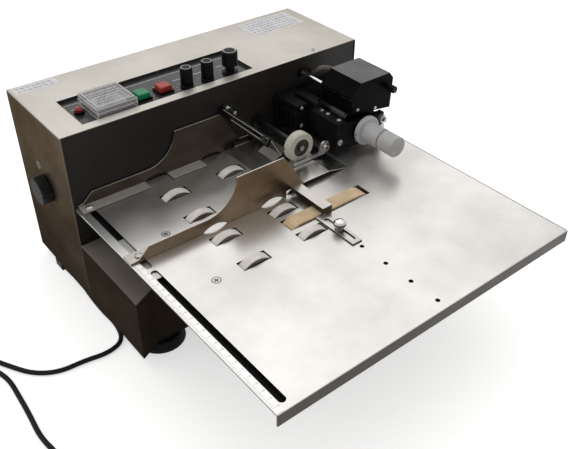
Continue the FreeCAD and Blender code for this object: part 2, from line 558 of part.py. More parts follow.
def guide_plate(y0, y1, foot):
    """Guide plate: low at the left, a hollow curve up, a slope down, its end clear of the platen."""
    low, high, clear = GUIDE_LOW, GUIDE_HIGH, GUIDE_CLEAR
    cx, cz, r = GUIDE_CURVE_X, GUIDE_LOW + GUIDE_CURVE_R, GUIDE_CURVE_R
    end = sqrt(r ** 2 - (cz - high) ** 2)
    middle = (atan2(high - cz, end) - pi / 2) / 2
    step = PLATEN_X[0] - GUIDE_T
    left = [(GUIDE_X0, foot), (GUIDE_X0, GUIDE_TOE), (GUIDE_X0 + GUIDE_TOE_L, GUIDE_TOE + 1),
            (GUIDE_X0 + GUIDE_RAMP, low), (cx, low)]
    right = [(cx + end, high), (GUIDE_TOP_X, high), (GUIDE_X1, clear), (step, clear), (step, foot),
             (GUIDE_X0, foot)]
    left = [V(x, y0, z) for x, z in left]
    right = [V(x, y0, z) for x, z in right]
    curve = Part.Arc(left[-1], V(cx + r * cos(middle), y0, cz + r * sin(middle)), right[0]).toShape()
    edges = [Part.makeLine(a, b) for a, b in zip(left, left[1:])] + [curve]
    edges += [Part.makeLine(a, b) for a, b in zip(right, right[1:])]
    return Part.Face(Part.Wire(edges)).extrude(V(0, y1 - y0, 0))


def wheel_arches():
    """Cutting tools for the arches where the feed wheels come up beside the rear guide."""
    return [rod("y", x, AXLE_Z, WHEEL_R + ARCH_GAP, FRONT_GUIDE_Y - 2 * FLANGE_W, 0)
            for x in (COL_LEFT, COL_RIGHT)]


def faceted_arches():
    """Wider arches of flat facets, with which the front guide slides over the row before it."""
    half = [(ARCH_FACETS[0][0], -1.0)] + list(ARCH_FACETS)
    outline = [(-a, b) for a, b in half] + [(a, b) for a, b in reversed(half[:-1])]
    return [prism_xz([(x + a, b) for a, b in outline], FRONT_GUIDE_Y - 2 * FLANGE_W, 0)
            for x in (COL_LEFT, COL_RIGHT)]


def guides():
    back, t = TABLE_BACK, GUIDE_T
    rear = [guide_plate(back - t, back, 0.0), box(GUIDE_X0, COL_RIGHT, back - FLANGE_W, back, 0, t)]
    rear += [box(TAB_X0, TAB_X1, back - TAB_W, back, 0, t), box(TAB_X0, TAB_X1, back - t, back, 0, TAB_H)]
    parts["rear_guide"] = joined(rear).cut(wheel_arches())

    y = FRONT_GUIDE_Y
    front = [guide_plate(y - t, y, FIT), box(GUIDE_X0, COL_RIGHT, y - t, y - t + FLANGE_W, FIT, FIT + t)]
    over_ruler = box(0, TABLE_X0 + RULER_W + FIT, y - t - 1, y + FLANGE_W, -1, RULER_T + FIT)
    pad = box(TABLE_X0, TABLE_X0 + RULER_W + FIT - RUN, y - t, y - t + FLANGE_W, RULER_T + FIT, PAD_TOP)
    screw_y = y - t + FLANGE_W / 2
    bore = rod("z", SLOT_X, screw_y, STUD_R, 0, FIT + t + 1)
    parts["front_guide"] = joined(front + [pad]).cut([over_ruler, bore] + faceted_arches())
    parts["guide_slider"] = guide_slider(screw_y)
    parts["guide_arm"] = guide_arm()


def guide_slider(screw_y):
    """Plate that runs under the table, with the screw that holds the guide's foot through the slot."""
    z = TABLE_UNDER - FIT
    half_w, half_l = SLIDER_W / 2, SLIDER_L / 2
    plate = box(SLOT_X - half_w, SLOT_X + half_w, screw_y - half_l, screw_y + half_l, z - SLIDER_T, z)
    top = FIT + GUIDE_T
    screw = turned("z", SLOT_X, screw_y, [(z - 1, STUD_R), (top, STUD_R), (top, STUD_HEAD_R),
                                          (top + STUD_HEAD_H * 0.6, STUD_HEAD_R * 0.9),
                                          (top + STUD_HEAD_H, STUD_HEAD_R * 0.5)])
    return joined([plate, screw])


def guide_arm():
    """Raised channel over the belt, then a slotted plate that the thumb screw clamps."""
    y1, y0, t, top = FRONT_GUIDE_Y - GUIDE_T, ARM_FOOT_Y, GUIDE_T, ARM_Z
    lip = top - ARM_LIP
    shapes = [box(ARM_X0, ARM_X1, y0, y1, top - t, top), box(ARM_X0, ARM_X0 + t, y0, y1, lip, top),
              box(ARM_X1 - t, ARM_X1, y0, y1, lip, top), box(ARM_X0, ARM_X1, y0 - t, y0, FIT, top),
              box(ARM_PLATE_X0, ARM_PLATE_X1, ARM_END_Y, y0, FIT, FIT + t)]
    return joined(shapes).cut(slot_z(CLAMP_X, ARM_SLOT_W, ARM_SLOT, 0, FIT + t + 1))


def thumb_screw():
    z = FIT + GUIDE_T + 2 * RUN
    r, washer, neck = THUMB_R, THUMB_WASHER_T, THUMB_NECK_R
    low, high, top = z + THUMB_H * 0.5, z + THUMB_H * 0.75, z + THUMB_H
    head = turned("z", CLAMP_X, CLAMP_Y, [(z, THUMB_WASHER_R), (z + washer, THUMB_WASHER_R), (z + washer, neck),
                                          (low - 1.5, neck), (low, r), (high, r), (top - 1, r * 0.7),
                                          (top, r * 0.3)])
    step = 2 * pi / THUMB_GRIPS
    grooves = [rod("z", CLAMP_X + r * cos(step * i), CLAMP_Y + r * sin(step * i), THUMB_GRIP_R, low - 1, top)
               for i in range(THUMB_GRIPS)]
    shank = rod("z", CLAMP_X, CLAMP_Y, CLAMP_HOLE_R - RUN, TABLE_UNDER - THUMB_REACH, z + 1)
    parts["thumb_screw"] = joined([head.cut(grooves), shank])


def on_bar(along, out):
    """Place in the X-Z plane, measured along the slotted bar from its lower edge and out from its back."""
    a = radians(BAR_TILT)
    return (BAR_LOW[0] + along * cos(a) + out * sin(a), BAR_LOW[1] + along * sin(a) - out * cos(a))


def across_bar(y, r, out0, out1):
    """Pin square to the bar through the middle of its width."""
    x0, z0 = on_bar(BAR_W / 2, out0)
    x1, z1 = on_bar(BAR_W / 2, out1)
    return Part.makeCylinder(r, out1 - out0, V(x0, y, z0), V(x1 - x0, 0, z1 - z0))


def gate():
    """Slotted bar on a stud of the cabinet face, and the bent blade that its screw clamps."""
    w, t = BAR_W, BAR_T
    bar = prism_xz([on_bar(0, -t), on_bar(w, -t), on_bar(w, 0), on_bar(0, 0)], BAR_Y0, 0)
    y0, y1 = BAR_SLOT[0] + BAR_SLOT_W / 2, BAR_SLOT[1] - BAR_SLOT_W / 2
    s0, s1 = (w - BAR_SLOT_W) / 2, (w + BAR_SLOT_W) / 2
    slot = prism_xz([on_bar(s0, -t - 1), on_bar(s1, -t - 1), on_bar(s1, 1), on_bar(s0, 1)], y0, y1)
    ends = [across_bar(y, BAR_SLOT_W / 2, -t - 1, 1) for y in (y0, y1)]
    ear_y = GATE_EAR_Y
    low, high = on_bar(w * 0.3, 0), on_bar(w, 0)
    ear = prism_xz([low, (GATE_STUD_X, GATE_STUD_Z - GATE_COLLAR_R), (GATE_STUD_X, GATE_STUD_Z + GATE_COLLAR_R),
                    high], ear_y, ear_y + GATE_EAR_T)
    collar_y = GATE_COLLAR_Y - GATE_COLLAR_T
    stud = [rod("y", GATE_STUD_X, GATE_STUD_Z, GATE_STUD_R, -GATE_STUD_L, 0),
            rod("y", GATE_STUD_X, GATE_STUD_Z, GATE_COLLAR_R, collar_y, GATE_COLLAR_Y),
            rod("y", GATE_STUD_X, GATE_STUD_Z, GATE_COLLAR_R, ear_y, ear_y + GATE_EAR_T)]
    parts["gate_bar"] = joined([bar.cut([slot] + ends), ear] + stud)

    g = BLADE_GAP
    bend, bend_low = on_bar(-0.5, g), on_bar(-0.5, g + t)
    leg = prism_xz([bend, on_bar(w - 1, g), on_bar(w - 1, g + t), bend_low], BLADE_Y0, BLADE_LEG_Y1)
    tip = (BLADE_LOW[0] + t * 0.4, BLADE_LOW[1] - t)
    lip = prism_xz([BLADE_LOW, bend, bend_low, tip], BLADE_Y0, BLADE_Y1)
    hole = across_bar(GATE_SCREW_Y, GATE_SCREW_R, g - 1, g + t + 1)
    parts["gate_blade"] = joined([leg, lip]).cut(hole)
    s = GATE_NUT / 2
    y, out = GATE_SCREW_Y, g + t
    nut = prism_xz([on_bar(w / 2 - s, out), on_bar(w / 2 + s, out), on_bar(w / 2 + s, out + GATE_NUT_L),
                    on_bar(w / 2 - s, out + GATE_NUT_L)], y - s, y + s)
    shank = across_bar(y, GATE_SCREW_R, -t - g - 0.5, out + 0.5)
    head = across_bar(y, GATE_HEAD_R, -t - g - GATE_HEAD_H, -t - g)
    parts["gate_clamp"] = joined([nut, shank, head])


def press_roller():
    y0, y1, e, r = PRESS_FACE_Y, PRESS_FACE_Y + PRESS_W, PRESS_EDGE, PRESS_R
    tyre = turned("y", PRESS_X, PRESS_Z, [(y0, r - e), (y0 + e, r), (y1 - e, r), (y1, r - e)])
    parts["press_roller"] = tyre.cut(rod("y", PRESS_X, PRESS_Z, PRESS_HUB_R, y0 - 1, y1 + 1))
    s = SHAFT_R
    hub = turned("y", PRESS_X, PRESS_Z, [(y0 - e, s - e), (y0, s), (y0 + e, s), (y0 + e, PRESS_HUB_R),
                                         (y1 - e, PRESS_HUB_R), (y1 - e, s + 2), (y1 + 3, s + 2), (y1 + 3, s),
                                         (FRONT_T + SHAFT_END, s)])
    parts["press_shaft"] = hub.cut(rod("y", PRESS_X, PRESS_Z, PIN_R * 2, y0 - 2, y0 + 1))

    y = EYE_Y
    bar = box(STRIP_X0, EYE_X, y - STRIP_T, y, STRIP_Z0, STRIP_Z0 + STRIP_H)
    cheek = prism_xz([(EYE_X - EYE_R - STRIP_H, STRIP_Z0 + STRIP_H / 2), (EYE_X, EYE_Z - EYE_R),
                      (EYE_X, EYE_Z + EYE_R * 0.5)], y - STRIP_T, y)
    disc = rod("y", EYE_X, EYE_Z, EYE_R, y - STRIP_T, y)
    stem = rod("y", EYE_X, EYE_Z, EYE_ROD_R, y, -HEAD_BACK)
    head_y = y - STRIP_T - EYE_HEAD_H
    head = rod("y", EYE_X, EYE_Z, EYE_HEAD_R, head_y, y - STRIP_T)
    socket = Part.Face(Part.makePolygon([V(EYE_X + 2.2 * cos(radians(60 * i)), head_y - 1,
                                           EYE_Z + 2.2 * sin(radians(60 * i))) for i in range(7)]))
    socket = socket.extrude(V(0, 1 + EYE_HEAD_H * 0.6, 0))
    parts["press_strip"] = joined([bar, cheek, disc, stem, head]).cut(socket)


def gear(x, z, tooth_at):
    """Spur gear with tapered teeth; tooth_at is the angle of one tooth's middle."""
    pitch_r = GEAR_TEETH * GEAR_MODULE / 2
    pitch = pi * GEAR_MODULE
    rings = ((pitch_r - 1.25 * GEAR_MODULE, 0.30 * pitch), (pitch_r, 0.20 * pitch),
             (pitch_r + 0.8 * GEAR_MODULE, 0.09 * pitch))
    points = []
    for i in range(GEAR_TEETH):
        mid = tooth_at + 2 * pi * i / GEAR_TEETH
        flank = [(r, mid - half / r) for r, half in rings] + [(r, mid + half / r) for r, half in reversed(rings)]
        points += [(x + r * cos(a), z + r * sin(a)) for r, a in flank]
    return prism_xz(points, GEAR_Y, GEAR_Y + GEAR_W)


def print_head():
    x, z = PRINT_X, PRINT_Z
    rear = GEAR_Y + GEAR_W + SHAFT_END
    shaft = turned("y", x, z, [(KNOB_END_Y + KNOB_CAP_T, KNOB_BORE_R), (KNOB_FACE_Y, KNOB_BORE_R),
                               (KNOB_FACE_Y, SHAFT_R), (rear, SHAFT_R)])
    collar = rod("y", x, z, COLLAR_R, DRUM_Y1, DRUM_Y1 + COLLAR_W)
    parts["print_shaft"] = joined([shaft, gear(x, z, -pi / 2), collar])
    parts["type_drum"] = type_drum()
    parts["hand_knob"] = hand_knob()
    parts["impression_roller"] = joined([
        rod("y", x, IMPRESSION_Z, SHAFT_R, BRACKET_Y - SHAFT_END, rear), drive_pulley(x, IMPRESSION_Z),
        rod("y", x, IMPRESSION_Z, IMPRESSION_R, DRUM_Y0, DRUM_Y1), gear(x, IMPRESSION_Z, pi / 2 + pi / GEAR_TEETH)])


def type_drum():
    """Drum with two rows of type bars in its two halves."""
    y0, y1, lip = DRUM_Y0, DRUM_Y1, DRUM_LIP
    core_r = DRUM_R - DRUM_CORE
    shapes = [turned("y", PRINT_X, PRINT_Z, [(y0, core_r), (y0 + lip, core_r), (y0 + lip, core_r + 1),
                                             (y1 - lip, core_r + 1), (y1 - lip, core_r), (y1, core_r)])]
    first = -TYPE_STEP * (TYPE_BARS - 1) / 2
    for row in (0.0, 180.0):
        for i in range(TYPE_BARS):
            bar = box(core_r - 1, DRUM_R - 0.1, y0 + lip + 1, y1 - lip - 1, -TYPE_W / 2, TYPE_W / 2)
            bar.rotate(V(0, 0, 0), V(0, 1, 0), row + first + TYPE_STEP * i)
            bar.translate(V(PRINT_X, 0, PRINT_Z))
            shapes.append(bar)
    return joined(shapes).cut(rod("y", PRINT_X, PRINT_Z, SHAFT_R, y0 - 1, y1 + 1))


def hand_knob():
    """White knob: flange with a set screw's hole, a stepped barrel and a groove near the middle."""
    f, e, r, R = KNOB_FACE_Y, KNOB_END_Y, KNOB_BODY_R, KNOB_FLANGE_R
    tip, groove = e + KNOB_TIP_L, e + KNOB_TIP_L + KNOB_GROOVE_W
    flange = f - KNOB_FLANGE_T
    knob = turned("y", PRINT_X, PRINT_Z, [
        (e, r - 1), (e + 1, r), (tip, r), (tip, r - KNOB_GROOVE), (groove, r - KNOB_GROOVE), (groove, r),
        (flange, r), (flange, R - 1), (flange + 1, R), (f - 1, R), (f, R - 1)])
    set_screw = rod("x", flange + KNOB_FLANGE_T / 2, PRINT_Z, SET_SCREW_R, PRINT_X - R - 1, PRINT_X - R + 6)
    bore = rod("y", PRINT_X, PRINT_Z, KNOB_BORE_R, e + KNOB_CAP_T, f + 1)
    return knob.cut([set_screw, bore])


def head_frame():
    """Casting on the cabinet face: back plate, side walls, front plate, finned gear block and a stay on it."""
    x0, x1, z0, z1, w = HEAD_X0, HEAD_X1, HEAD_BOTTOM, HEAD_TOP, HEAD_WALL
    low, cut = HEAD_CUT_LOW, HEAD_CUT_TOP
    back = box(x0 - HEAD_FLANGE, x1 + w, -HEAD_BACK, 0, z0, z1 + HEAD_RISE)
    edge, slope = x0 + SIDE_FLANGE, SIDE_TOP - z1
    front = prism_xz([(x0, z0), (x1 - low, z0), (x1, z0 + low), (x1, z1), (edge + slope, z1), (edge, SIDE_TOP),
                      (x0, SIDE_TOP)], HEAD_FRONT_Y, HEAD_FRONT_Y + w)
    side = [box(x0, x0 + w, HEAD_FRONT_Y, BLOCK_Y0, z1 - cut, SIDE_TOP),
            box(x0, edge, HEAD_FRONT_Y, BLOCK_Y0, SIDE_TOP - SIDE_FLANGE_T, SIDE_TOP)]
    stay = [rod("y", STAY_X, STAY_Z, STAY_R, STAY_Y0, STAY_Y1),
            rod("y", STAY_X, STAY_Z, STAY_CAP, STAY_Y0, STAY_Y0 + STAY_CAP_L)]
    left = box(x0, x0 + w, HEAD_FRONT_Y, 0, z0, z1 - cut)
    right = box(x1 - w, x1, HEAD_FRONT_Y, 0, z0 + low, z1 - low)
    block = box(BLOCK_X0, BLOCK_X1, BLOCK_Y0, 0, BLOCK_Z0, BLOCK_Z1)
    shelf = BLOCK_Z1 - LEDGE_DROP
    ledge = box(BLOCK_X0 - FIN_DEPTH, BLOCK_X1, BLOCK_Y0 - FIN_DEPTH, 0, shelf, shelf + LEDGE_H)
    cuts = [rod("y", PRINT_X, PRINT_Z, SHAFT_R + RUN, HEAD_FRONT_Y - 1, HEAD_FRONT_Y + w + 1),
            box(x0 - 1, x0 + w + 1, *WINDOW)]
    cuts += [rod("y", x, z, SHAFT_R + BEARING_T + BEARING_FLANGE, -HEAD_BACK - 1, 1)
             for x, z in ((PRINT_X, PRINT_Z), (PRINT_X, IMPRESSION_Z))]
    for i in range(FINS):
        y = BLOCK_Y0 + FIN_PITCH * (i + 0.6)
        cuts.append(box(BLOCK_X0 - 1, BLOCK_X0 + FIN_DEPTH, y, y + FIN_GAP, BLOCK_Z0 + FIN_GAP, shelf - 1))
    parts["head_frame"] = joined([back, front, left, right, block, ledge] + side + stay).cut(cuts)


def cover_inside():
    """The cover's outline drawn in by its wall, open at the bottom."""
    t = COVER_T
    wire = Part.makePolygon([V(x, COVER_Y0 + t, z) for x, z in list(COVER_OUTLINE) + [COVER_OUTLINE[0]]])
    inner = Part.Face(wire.makeOffset2D(-t, 2)).extrude(V(0, COVER_Y1 - COVER_Y0 - 2 * t, 0))
    (xr, zr), (xl, zl) = COVER_OUTLINE[4], COVER_OUTLINE[5]
    mouth = prism_xz([(xl + t, zl + 3 * t), (xr - t, zr + 3 * t), (xr - t, zr - t), (xl + t, zl - t)],
                     COVER_Y0 + t, COVER_Y1 - t)
    return inner.fuse(mouth)


def ink_head():
    """Cover that swings about the rod, the carrier under its top, the ink roller and a small knob."""
    t = COVER_T
    lugs = [rod("y", ROD_X, ROD_Z, LUG_R, y, y + LUG_W) for y in (COVER_Y0 + t, COVER_Y1 - t - LUG_W)]
    full = prism_xz(COVER_OUTLINE, COVER_Y0, COVER_Y1)
    shell = full.cut(cover_inside()).fuse([lug.common(full) for lug in lugs])
    bore = rod("y", ROD_X, ROD_Z, ROD_R + RUN, COVER_Y0 + t, COVER_Y1 + 1)
    hole = rod("y", COVER_KNOB_X, COVER_KNOB_Z, COVER_STUD_R, COVER_Y0 - 1, COVER_Y0 + t + 1)
    parts["ink_cover"] = shell.cut([bore, hole]).removeSplitter()
    parts["hinge_rod"] = rod("y", ROD_X, ROD_Z, ROD_R, COVER_Y0 + t + FIT, FRONT_T + SHAFT_END)

    r, y = COVER_KNOB_R, COVER_Y0
    end, neck = y - COVER_KNOB_L, y - COVER_NECK_L
    parts["cover_knob"] = turned("y", COVER_KNOB_X, COVER_KNOB_Z, [
        (end, r - 0.8), (end + 0.8, r), (neck, r), (neck, COVER_NECK_R), (y, COVER_NECK_R), (y, COVER_STUD_R),
        (y + t + 2, COVER_STUD_R)])

    y0, y1 = DRUM_Y0 + PRESS_EDGE, DRUM_Y1 - PRESS_EDGE
    a, b = y0 - CHEEK_T - FIT, y1 + CHEEK_T + FIT
    left, right, top = INK_X - CHEEK_W / 2, INK_X + CHEEK_W / 2, COVER_TOP - t
    cheeks = [box(left, right, a, y0 - FIT, INK_Z - CHEEK_DROP, top),
              box(left, right, y1 + FIT, b, INK_Z - CHEEK_DROP, top)]
    bridge = box(left, right, a, b, INK_Z + INK_R + 1, top)
    carrier = joined(cheeks + [bridge])
    parts["ink_carrier"] = carrier.cut(rod("y", INK_X, INK_Z, INK_AXLE_R + RUN, a - 1, b + 1))
    parts["ink_roller"] = joined([rod("y", INK_X, INK_Z, INK_R, y0, y1), rod("y", INK_X, INK_Z, INK_AXLE_R, a, b)])
    path, radii = rounded_path([V(*p) for p in LEAD_POINTS])
    parts["heater_lead"] = sweep(path, LEAD_R)


def cross_head(axis, x, y, z, r, h):
    """Pan head with a cross recess, standing on a face that looks up or to the front."""
    profile = [(0, r), (h * 0.5, r * 0.95), (h, r * 0.55)]
    head = turned("z", 0, 0, profile)
    arm, thin = r * 0.6, 0.35
    head = head.cut([box(-arm, arm, -thin, thin, h * 0.5, h + 1), box(-thin, thin, -arm, arm, h * 0.5, h + 1)])
    if axis == "y":
        head.rotate(V(0, 0, 0), V(1, 0, 0), 90)
    head.translate(V(x, y, z))
    return head


def screws():
    items = []
    deep = TABLE_UNDER - SUPPORT_T - 1
    for y in CSK_YS:
        head = turned("z", CSK_X, y, [(deep, SCREW_R), (TABLE_UNDER + FIT, SCREW_R), (-0.1, CSK_R - FIT)])
        arm = CSK_R * 0.55
        items.append(head.cut([box(CSK_X - arm, CSK_X + arm, y - 0.4, y + 0.4, -0.7, 1),
                               box(CSK_X - 0.4, CSK_X + 0.4, y - arm, y + arm, -0.7, 1)]))
    items.append(cross_head("y", BOLT_X, HEAD_FRONT_Y, BOLT_Z, BOLT_R, BOLT_H))
    items.append(cross_head("y", HEAD_X1 - 7, HEAD_FRONT_Y, HEAD_BOTTOM + 12, 3.2, 2.2))
    items += [cross_head("z", SIDE_SCREW_X, y, SIDE_TOP, 3.0, 2.2) for y in SIDE_SCREW_YS]
    for x, z in ((BLOCK_X0 + 8, BLOCK_Z1 - 4), (BLOCK_X1 - 8, BLOCK_Z1 - 4), (BLOCK_X0 + 8, BLOCK_Z0 + 5)):
        items.append(cross_head("y", x, BLOCK_Y0, z, 2.6, 2.0))
    items.append(cross_head("z", SLOT_X, TABLE_BACK - FLANGE_W / 2, GUIDE_T, STUD_HEAD_R, STUD_HEAD_H))
    items.append(cross_head("z", 353.0, 7.0, CAB_TOP, 2.4, 1.6))
    nut_x, nut_z, y = HEAD_X1 - 6, HEAD_TOP - 6, HEAD_FRONT_Y
    items.append(turned("y", nut_x, nut_z, [(y - 6, 4.4), (y - 5, 5.2), (y, 5.2)]))
    parts["machine_screws"] = group(items)


def internals():
    """Gear motor, the timing belt to the shafts, the control board and its transformer."""
    x, z, half = MOTOR_X, MOTOR_Z, GEARBOX / 2
    y0 = PULLEY_Y + PULLEY_W + MOTOR_GAP
    y1 = y0 + GEARBOX_L
    motor = joined([box(x - half, x + half, y0, y1, z - half, z + half), rod("y", x, z, MOTOR_R, y1, y0 + MOTOR_L),
                    box(x - half, x + half, y0 + 2, y1 - 6, -CAB_DROP + SHEET, z - half)])
    parts["drive_motor"] = motor.cut(rod("y", x, z, MOTOR_SHAFT_R + RUN, y0 - 1, y0 + 20))
    parts["motor_pulley"] = joined([drive_pulley(x, z), rod("y", x, z, MOTOR_SHAFT_R, PULLEY_Y, y0 + 18)])
    parts["drive_belt"] = drive_belt()
    board = box(BOARD_X[0], BOARD_X[1], BOARD_Y, BOARD_Y + BOARD_T, *BOARD_Z)
    stands = [box(BOARD_X[0] + 2, BOARD_X[1] - 2, BOARD_Y + BOARD_T, CAB_D - SHEET, z, z + STANDOFF)
              for z in (BOARD_Z[0] + 2, BOARD_Z[1] - 2 - STANDOFF)]
    low = -CAB_DROP + SHEET
    core = box(CORE_X, CORE_X + CORE_SIZE, CORE_Y, CORE_Y + CORE_SIZE, low, low + CORE_H)
    parts["control_board"] = group([joined([board] + stands), core])


def drive_belt():
    """Timing belt round the motor's pulley and the outermost shafts, over the ones between them."""
    y0, y1 = PULLEY_Y + 1, PULLEY_Y + PULLEY_W - 1
    centres = [(COL_LEFT, AXLE_Z), (PRINT_X, IMPRESSION_Z), (MOTOR_X, MOTOR_Z)]

    def loop(r):
        shapes = [prism_xz(centres, y0, y1)] + [rod("y", x, z, r, y0, y1) for x, z in centres]
        for (xa, za), (xb, zb) in zip(centres, centres[1:] + centres[:1]):
            d = sqrt((xb - xa) ** 2 + (zb - za) ** 2)
            nx, nz = (za - zb) / d * r, (xb - xa) / d * r
            shapes.append(prism_xz([(xa, za), (xb, zb), (xb + nx, zb + nz), (xa + nx, za + nz)], y0, y1))
        return joined(shapes)

    inner = PULLEY_R + RUN
    return loop(inner + DRIVE_BELT_T).cut(loop(inner))


def panel_items():
    z = PANEL_Z
    body = square(CTRL_X, CTRL_Y, CTRL_SIZE, z - CTRL_BODY_DEPTH, z)
    bezel = square(CTRL_X, CTRL_Y, BEZEL_SIZE, z, z + BEZEL_H)
    top = z + BEZEL_H + DIAL_H
    dial = turned("z", CTRL_X, CTRL_Y + 5, [(z, DIAL_R), (top - 1, DIAL_R), (top, DIAL_R - 1)])
    keys = [square(x, CTRL_Y - BEZEL_SIZE / 3, 6, z, z + BEZEL_H + 1)
            for x in (CTRL_X - 11, CTRL_X, CTRL_X + 11)]
    parts["temp_controller"] = joined([body, bezel, dial] + keys)
    parts["controller_cover"] = controller_cover()

    low, r = z + LAMP_RING_H, LAMP_R
    parts["power_lamp"] = turned("z", LAMP_X, LAMP_Y, [(low, r), (low + LAMP_H * 0.5, r),
                                                       (low + LAMP_H * 0.85, r * 0.62), (low + LAMP_H, r * 0.2)])
    under = z - PANEL_T
    switches = [tube("z", LAMP_X, LAMP_Y, LAMP_RING_R, SPINDLE_R, z, low)]
    for x in (GREEN_X, RED_X):
        well = BUTTON_SIZE + 2 * FIT
        frame = square(x, BUTTON_Y, FRAME_SIZE, z, z + FRAME_H)
        body = square(x, BUTTON_Y, FRAME_SIZE, under - SWITCH_DEPTH, under)
        switches.append(frame.cut(square(x, BUTTON_Y, well, z - 1, z + FRAME_H + 1)))
        switches.append(body.cut(square(x, BUTTON_Y, well, under - 2 * BUTTON_TRAVEL - 1, under + 1)))
    for x in (SPEED_X, HEAT_X, COUNT_X):
        switches.append(tube("z", x, KNOB_Y, POT_R, SPINDLE_R + RUN, under - POT_H, under))
    switches.append(tube("x", SIDE_Y, SIDE_Z, POT_R, SPINDLE_R + RUN, SHEET, SHEET + POT_H))
    parts["panel_switches"] = group(switches)
    for name, x in (("green_button", GREEN_X), ("red_button", RED_X)):
        high = z + FRAME_H + BUTTON_H
        cap = square(x, BUTTON_Y, BUTTON_SIZE, under - BUTTON_TRAVEL, high)
        parts[name] = cap.makeChamfer(1.0, [e for e in cap.Edges if e.BoundBox.ZMin > high - 0.01])


def controller_cover():
    """Clear cover over the controller, hinged behind it, cut away at the heel to swing clear of the bezel."""
    z = PANEL_Z
    outer = square(CTRL_X, CTRL_Y, LID_SIZE, z + FIT, z + LID_H)
    outer = outer.makeChamfer(LID_BEVEL, [e for e in outer.Edges if e.BoundBox.ZMin > z + LID_H - 0.01])
    inner = square(CTRL_X, CTRL_Y, LID_SIZE - 2 * LID_T, z - 1, z + LID_H - LID_T)
    y, axis_z, half = LID_AXIS_Y, z + LID_AXIS_Z, BARREL_L / 2
    barrel = rod("x", y, axis_z, BARREL_R, CTRL_X - half, CTRL_X + half)
    rear, inside = CTRL_Y + LID_SIZE / 2, LID_SIZE / 2 - LID_T
    web = box(CTRL_X - half, CTRL_X + half, rear - LID_T, y, axis_z, axis_z + BARREL_R)
    heel = box(CTRL_X - inside, CTRL_X + inside, rear - LID_T - 1, rear + 1, z, axis_z - LID_HEEL)
    pin = rod("x", y, axis_z, PIN_R + RUN, CTRL_X - half - 1, CTRL_X + half + 1)
    return joined([outer.cut(inner), barrel, web]).cut([pin, heel])


def knobs():
    z, y = PANEL_Z, KNOB_Y
    for name, x in (("speed_knob", SPEED_X), ("heat_knob", HEAT_X)):
        skirt = turned("z", x, y, [(z + FIT, SKIRT_R), (z + SKIRT_H, SKIRT_R), (z + SKIRT_H + 1, KNOB_R)])
        spindle = rod("z", x, y, SPINDLE_R, z - PANEL_T - SPINDLE_L, z + 1)
        parts[name] = joined([grip(x, y, KNOB_R, z + SKIRT_H, z + KNOB_H, 2.0), skirt, spindle])
    x, r, neck = COUNT_X, BIG_KNOB_R, BIG_NECK_H
    base_disc = turned("z", x, y, [(z + FIT, BIG_BASE_R), (z + SKIRT_H, BIG_BASE_R), (z + SKIRT_H + 2, BIG_NECK_R),
                                   (z + neck, BIG_NECK_R), (z + neck + 2, r - 1), (z + neck + 3, r - 1)])
    spindle = rod("z", x, y, SPINDLE_R, z - PANEL_T - SPINDLE_L, z + 1)
    parts["count_knob"] = joined([grip(x, y, r, z + neck + 2, z + BIG_KNOB_H, 1.0), base_disc, spindle])

    out, r = -SIDE_REACH, SIDE_R
    side = turned("x", SIDE_Y, SIDE_Z, [(out, r - 1.5), (out + 1.5, r), (-1.5, r), (-FIT, r - 1.5),
                                        (-FIT, SPINDLE_R), (SHEET + SPINDLE_L, SPINDLE_R)])
    ring = r + FLUTE_R * 0.7
    step = 2 * pi / SIDE_FLUTES
    flutes = [rod("x", SIDE_Y + ring * cos(step * i), SIDE_Z + ring * sin(step * i), FLUTE_R, out - 1, -2.5)
              for i in range(SIDE_FLUTES)]
    parts["side_knob"] = side.cut(flutes)


def rounded_path(pts):
    """Straight runs joined by tangent arcs; each radius is 0.45 of the shorter run over tan(half turn)."""
    edges, radii, last = [], [], pts[0]
    for a, b, c in zip(pts, pts[1:], pts[2:]):
        u, w = (b - a).normalize(), (c - b).normalize()
        half = u.getAngle(w) / 2
        back = 0.45 * min((b - a).Length, (c - b).Length)
        radius = back / tan(half)
        radii.append(radius)
        start, end = b - u * back, b + w * back
        middle = b + (w - u).normalize() * radius * (1 / cos(half) - 1)
        edges += [Part.LineSegment(last, start).toShape(), Part.Arc(start, middle, end).toShape()]
        last = end
    edges.append(Part.LineSegment(last, pts[-1]).toShape())
    return Part.Wire(edges), radii


def sweep(wire, r):
    first = wire.Edges[0]
    way = first.tangentAt(first.FirstParameter)
    circle = Part.Wire([Part.makeCircle(r, first.valueAt(first.FirstParameter), way)])
    return wire.makePipeShell([circle], True, False)


def arc_from(start, way, end):
    """Arc that leaves start along way and reaches end."""
    chord = end - start
    unit = chord * (1 / chord.Length)
    side = way - unit * way.dot(unit)
    bend = way.getAngle(chord)
    middle = (start + end) * 0.5 + side.normalize() * (chord.Length / 2 * tan(bend / 2))
    return Part.Arc(start, middle, end).toShape()


def biarc(p0, t0, p1, t1):
    """Two arcs that leave p0 along t0 and reach p1 along t1."""
    v, t = p1 - p0, t0 + t1
    a, b = 2 * (1 - t0.dot(t1)), v.dot(t)
    d = (-b + sqrt(b * b + a * v.dot(v))) / a
    joint = (p0 + p1 + (t0 - t1) * d) * 0.5
    return [arc_from(p0, t0, joint), arc_from(joint, (joint - p0 - t0 * d).normalize(), p1)]


def coil_point(turn):
    """In on the lower layer, up in the half turn where the spiral reverses, out on the upper one."""
    climb = min(max(2 * (turn - COIL_TURNS), 0.0), 1.0)
    reverse = COIL_TURNS + 0.25
    r = COIL_R - COIL_PITCH * (reverse - abs(turn - reverse))
    z = CORD_Z + COIL_PITCH * (1 - cos(pi * climb)) / 2
    x = COIL_START[0] - COIL_R + r * cos(2 * pi * turn)
    return V(x, COIL_START[1] - r * sin(2 * pi * turn), z)


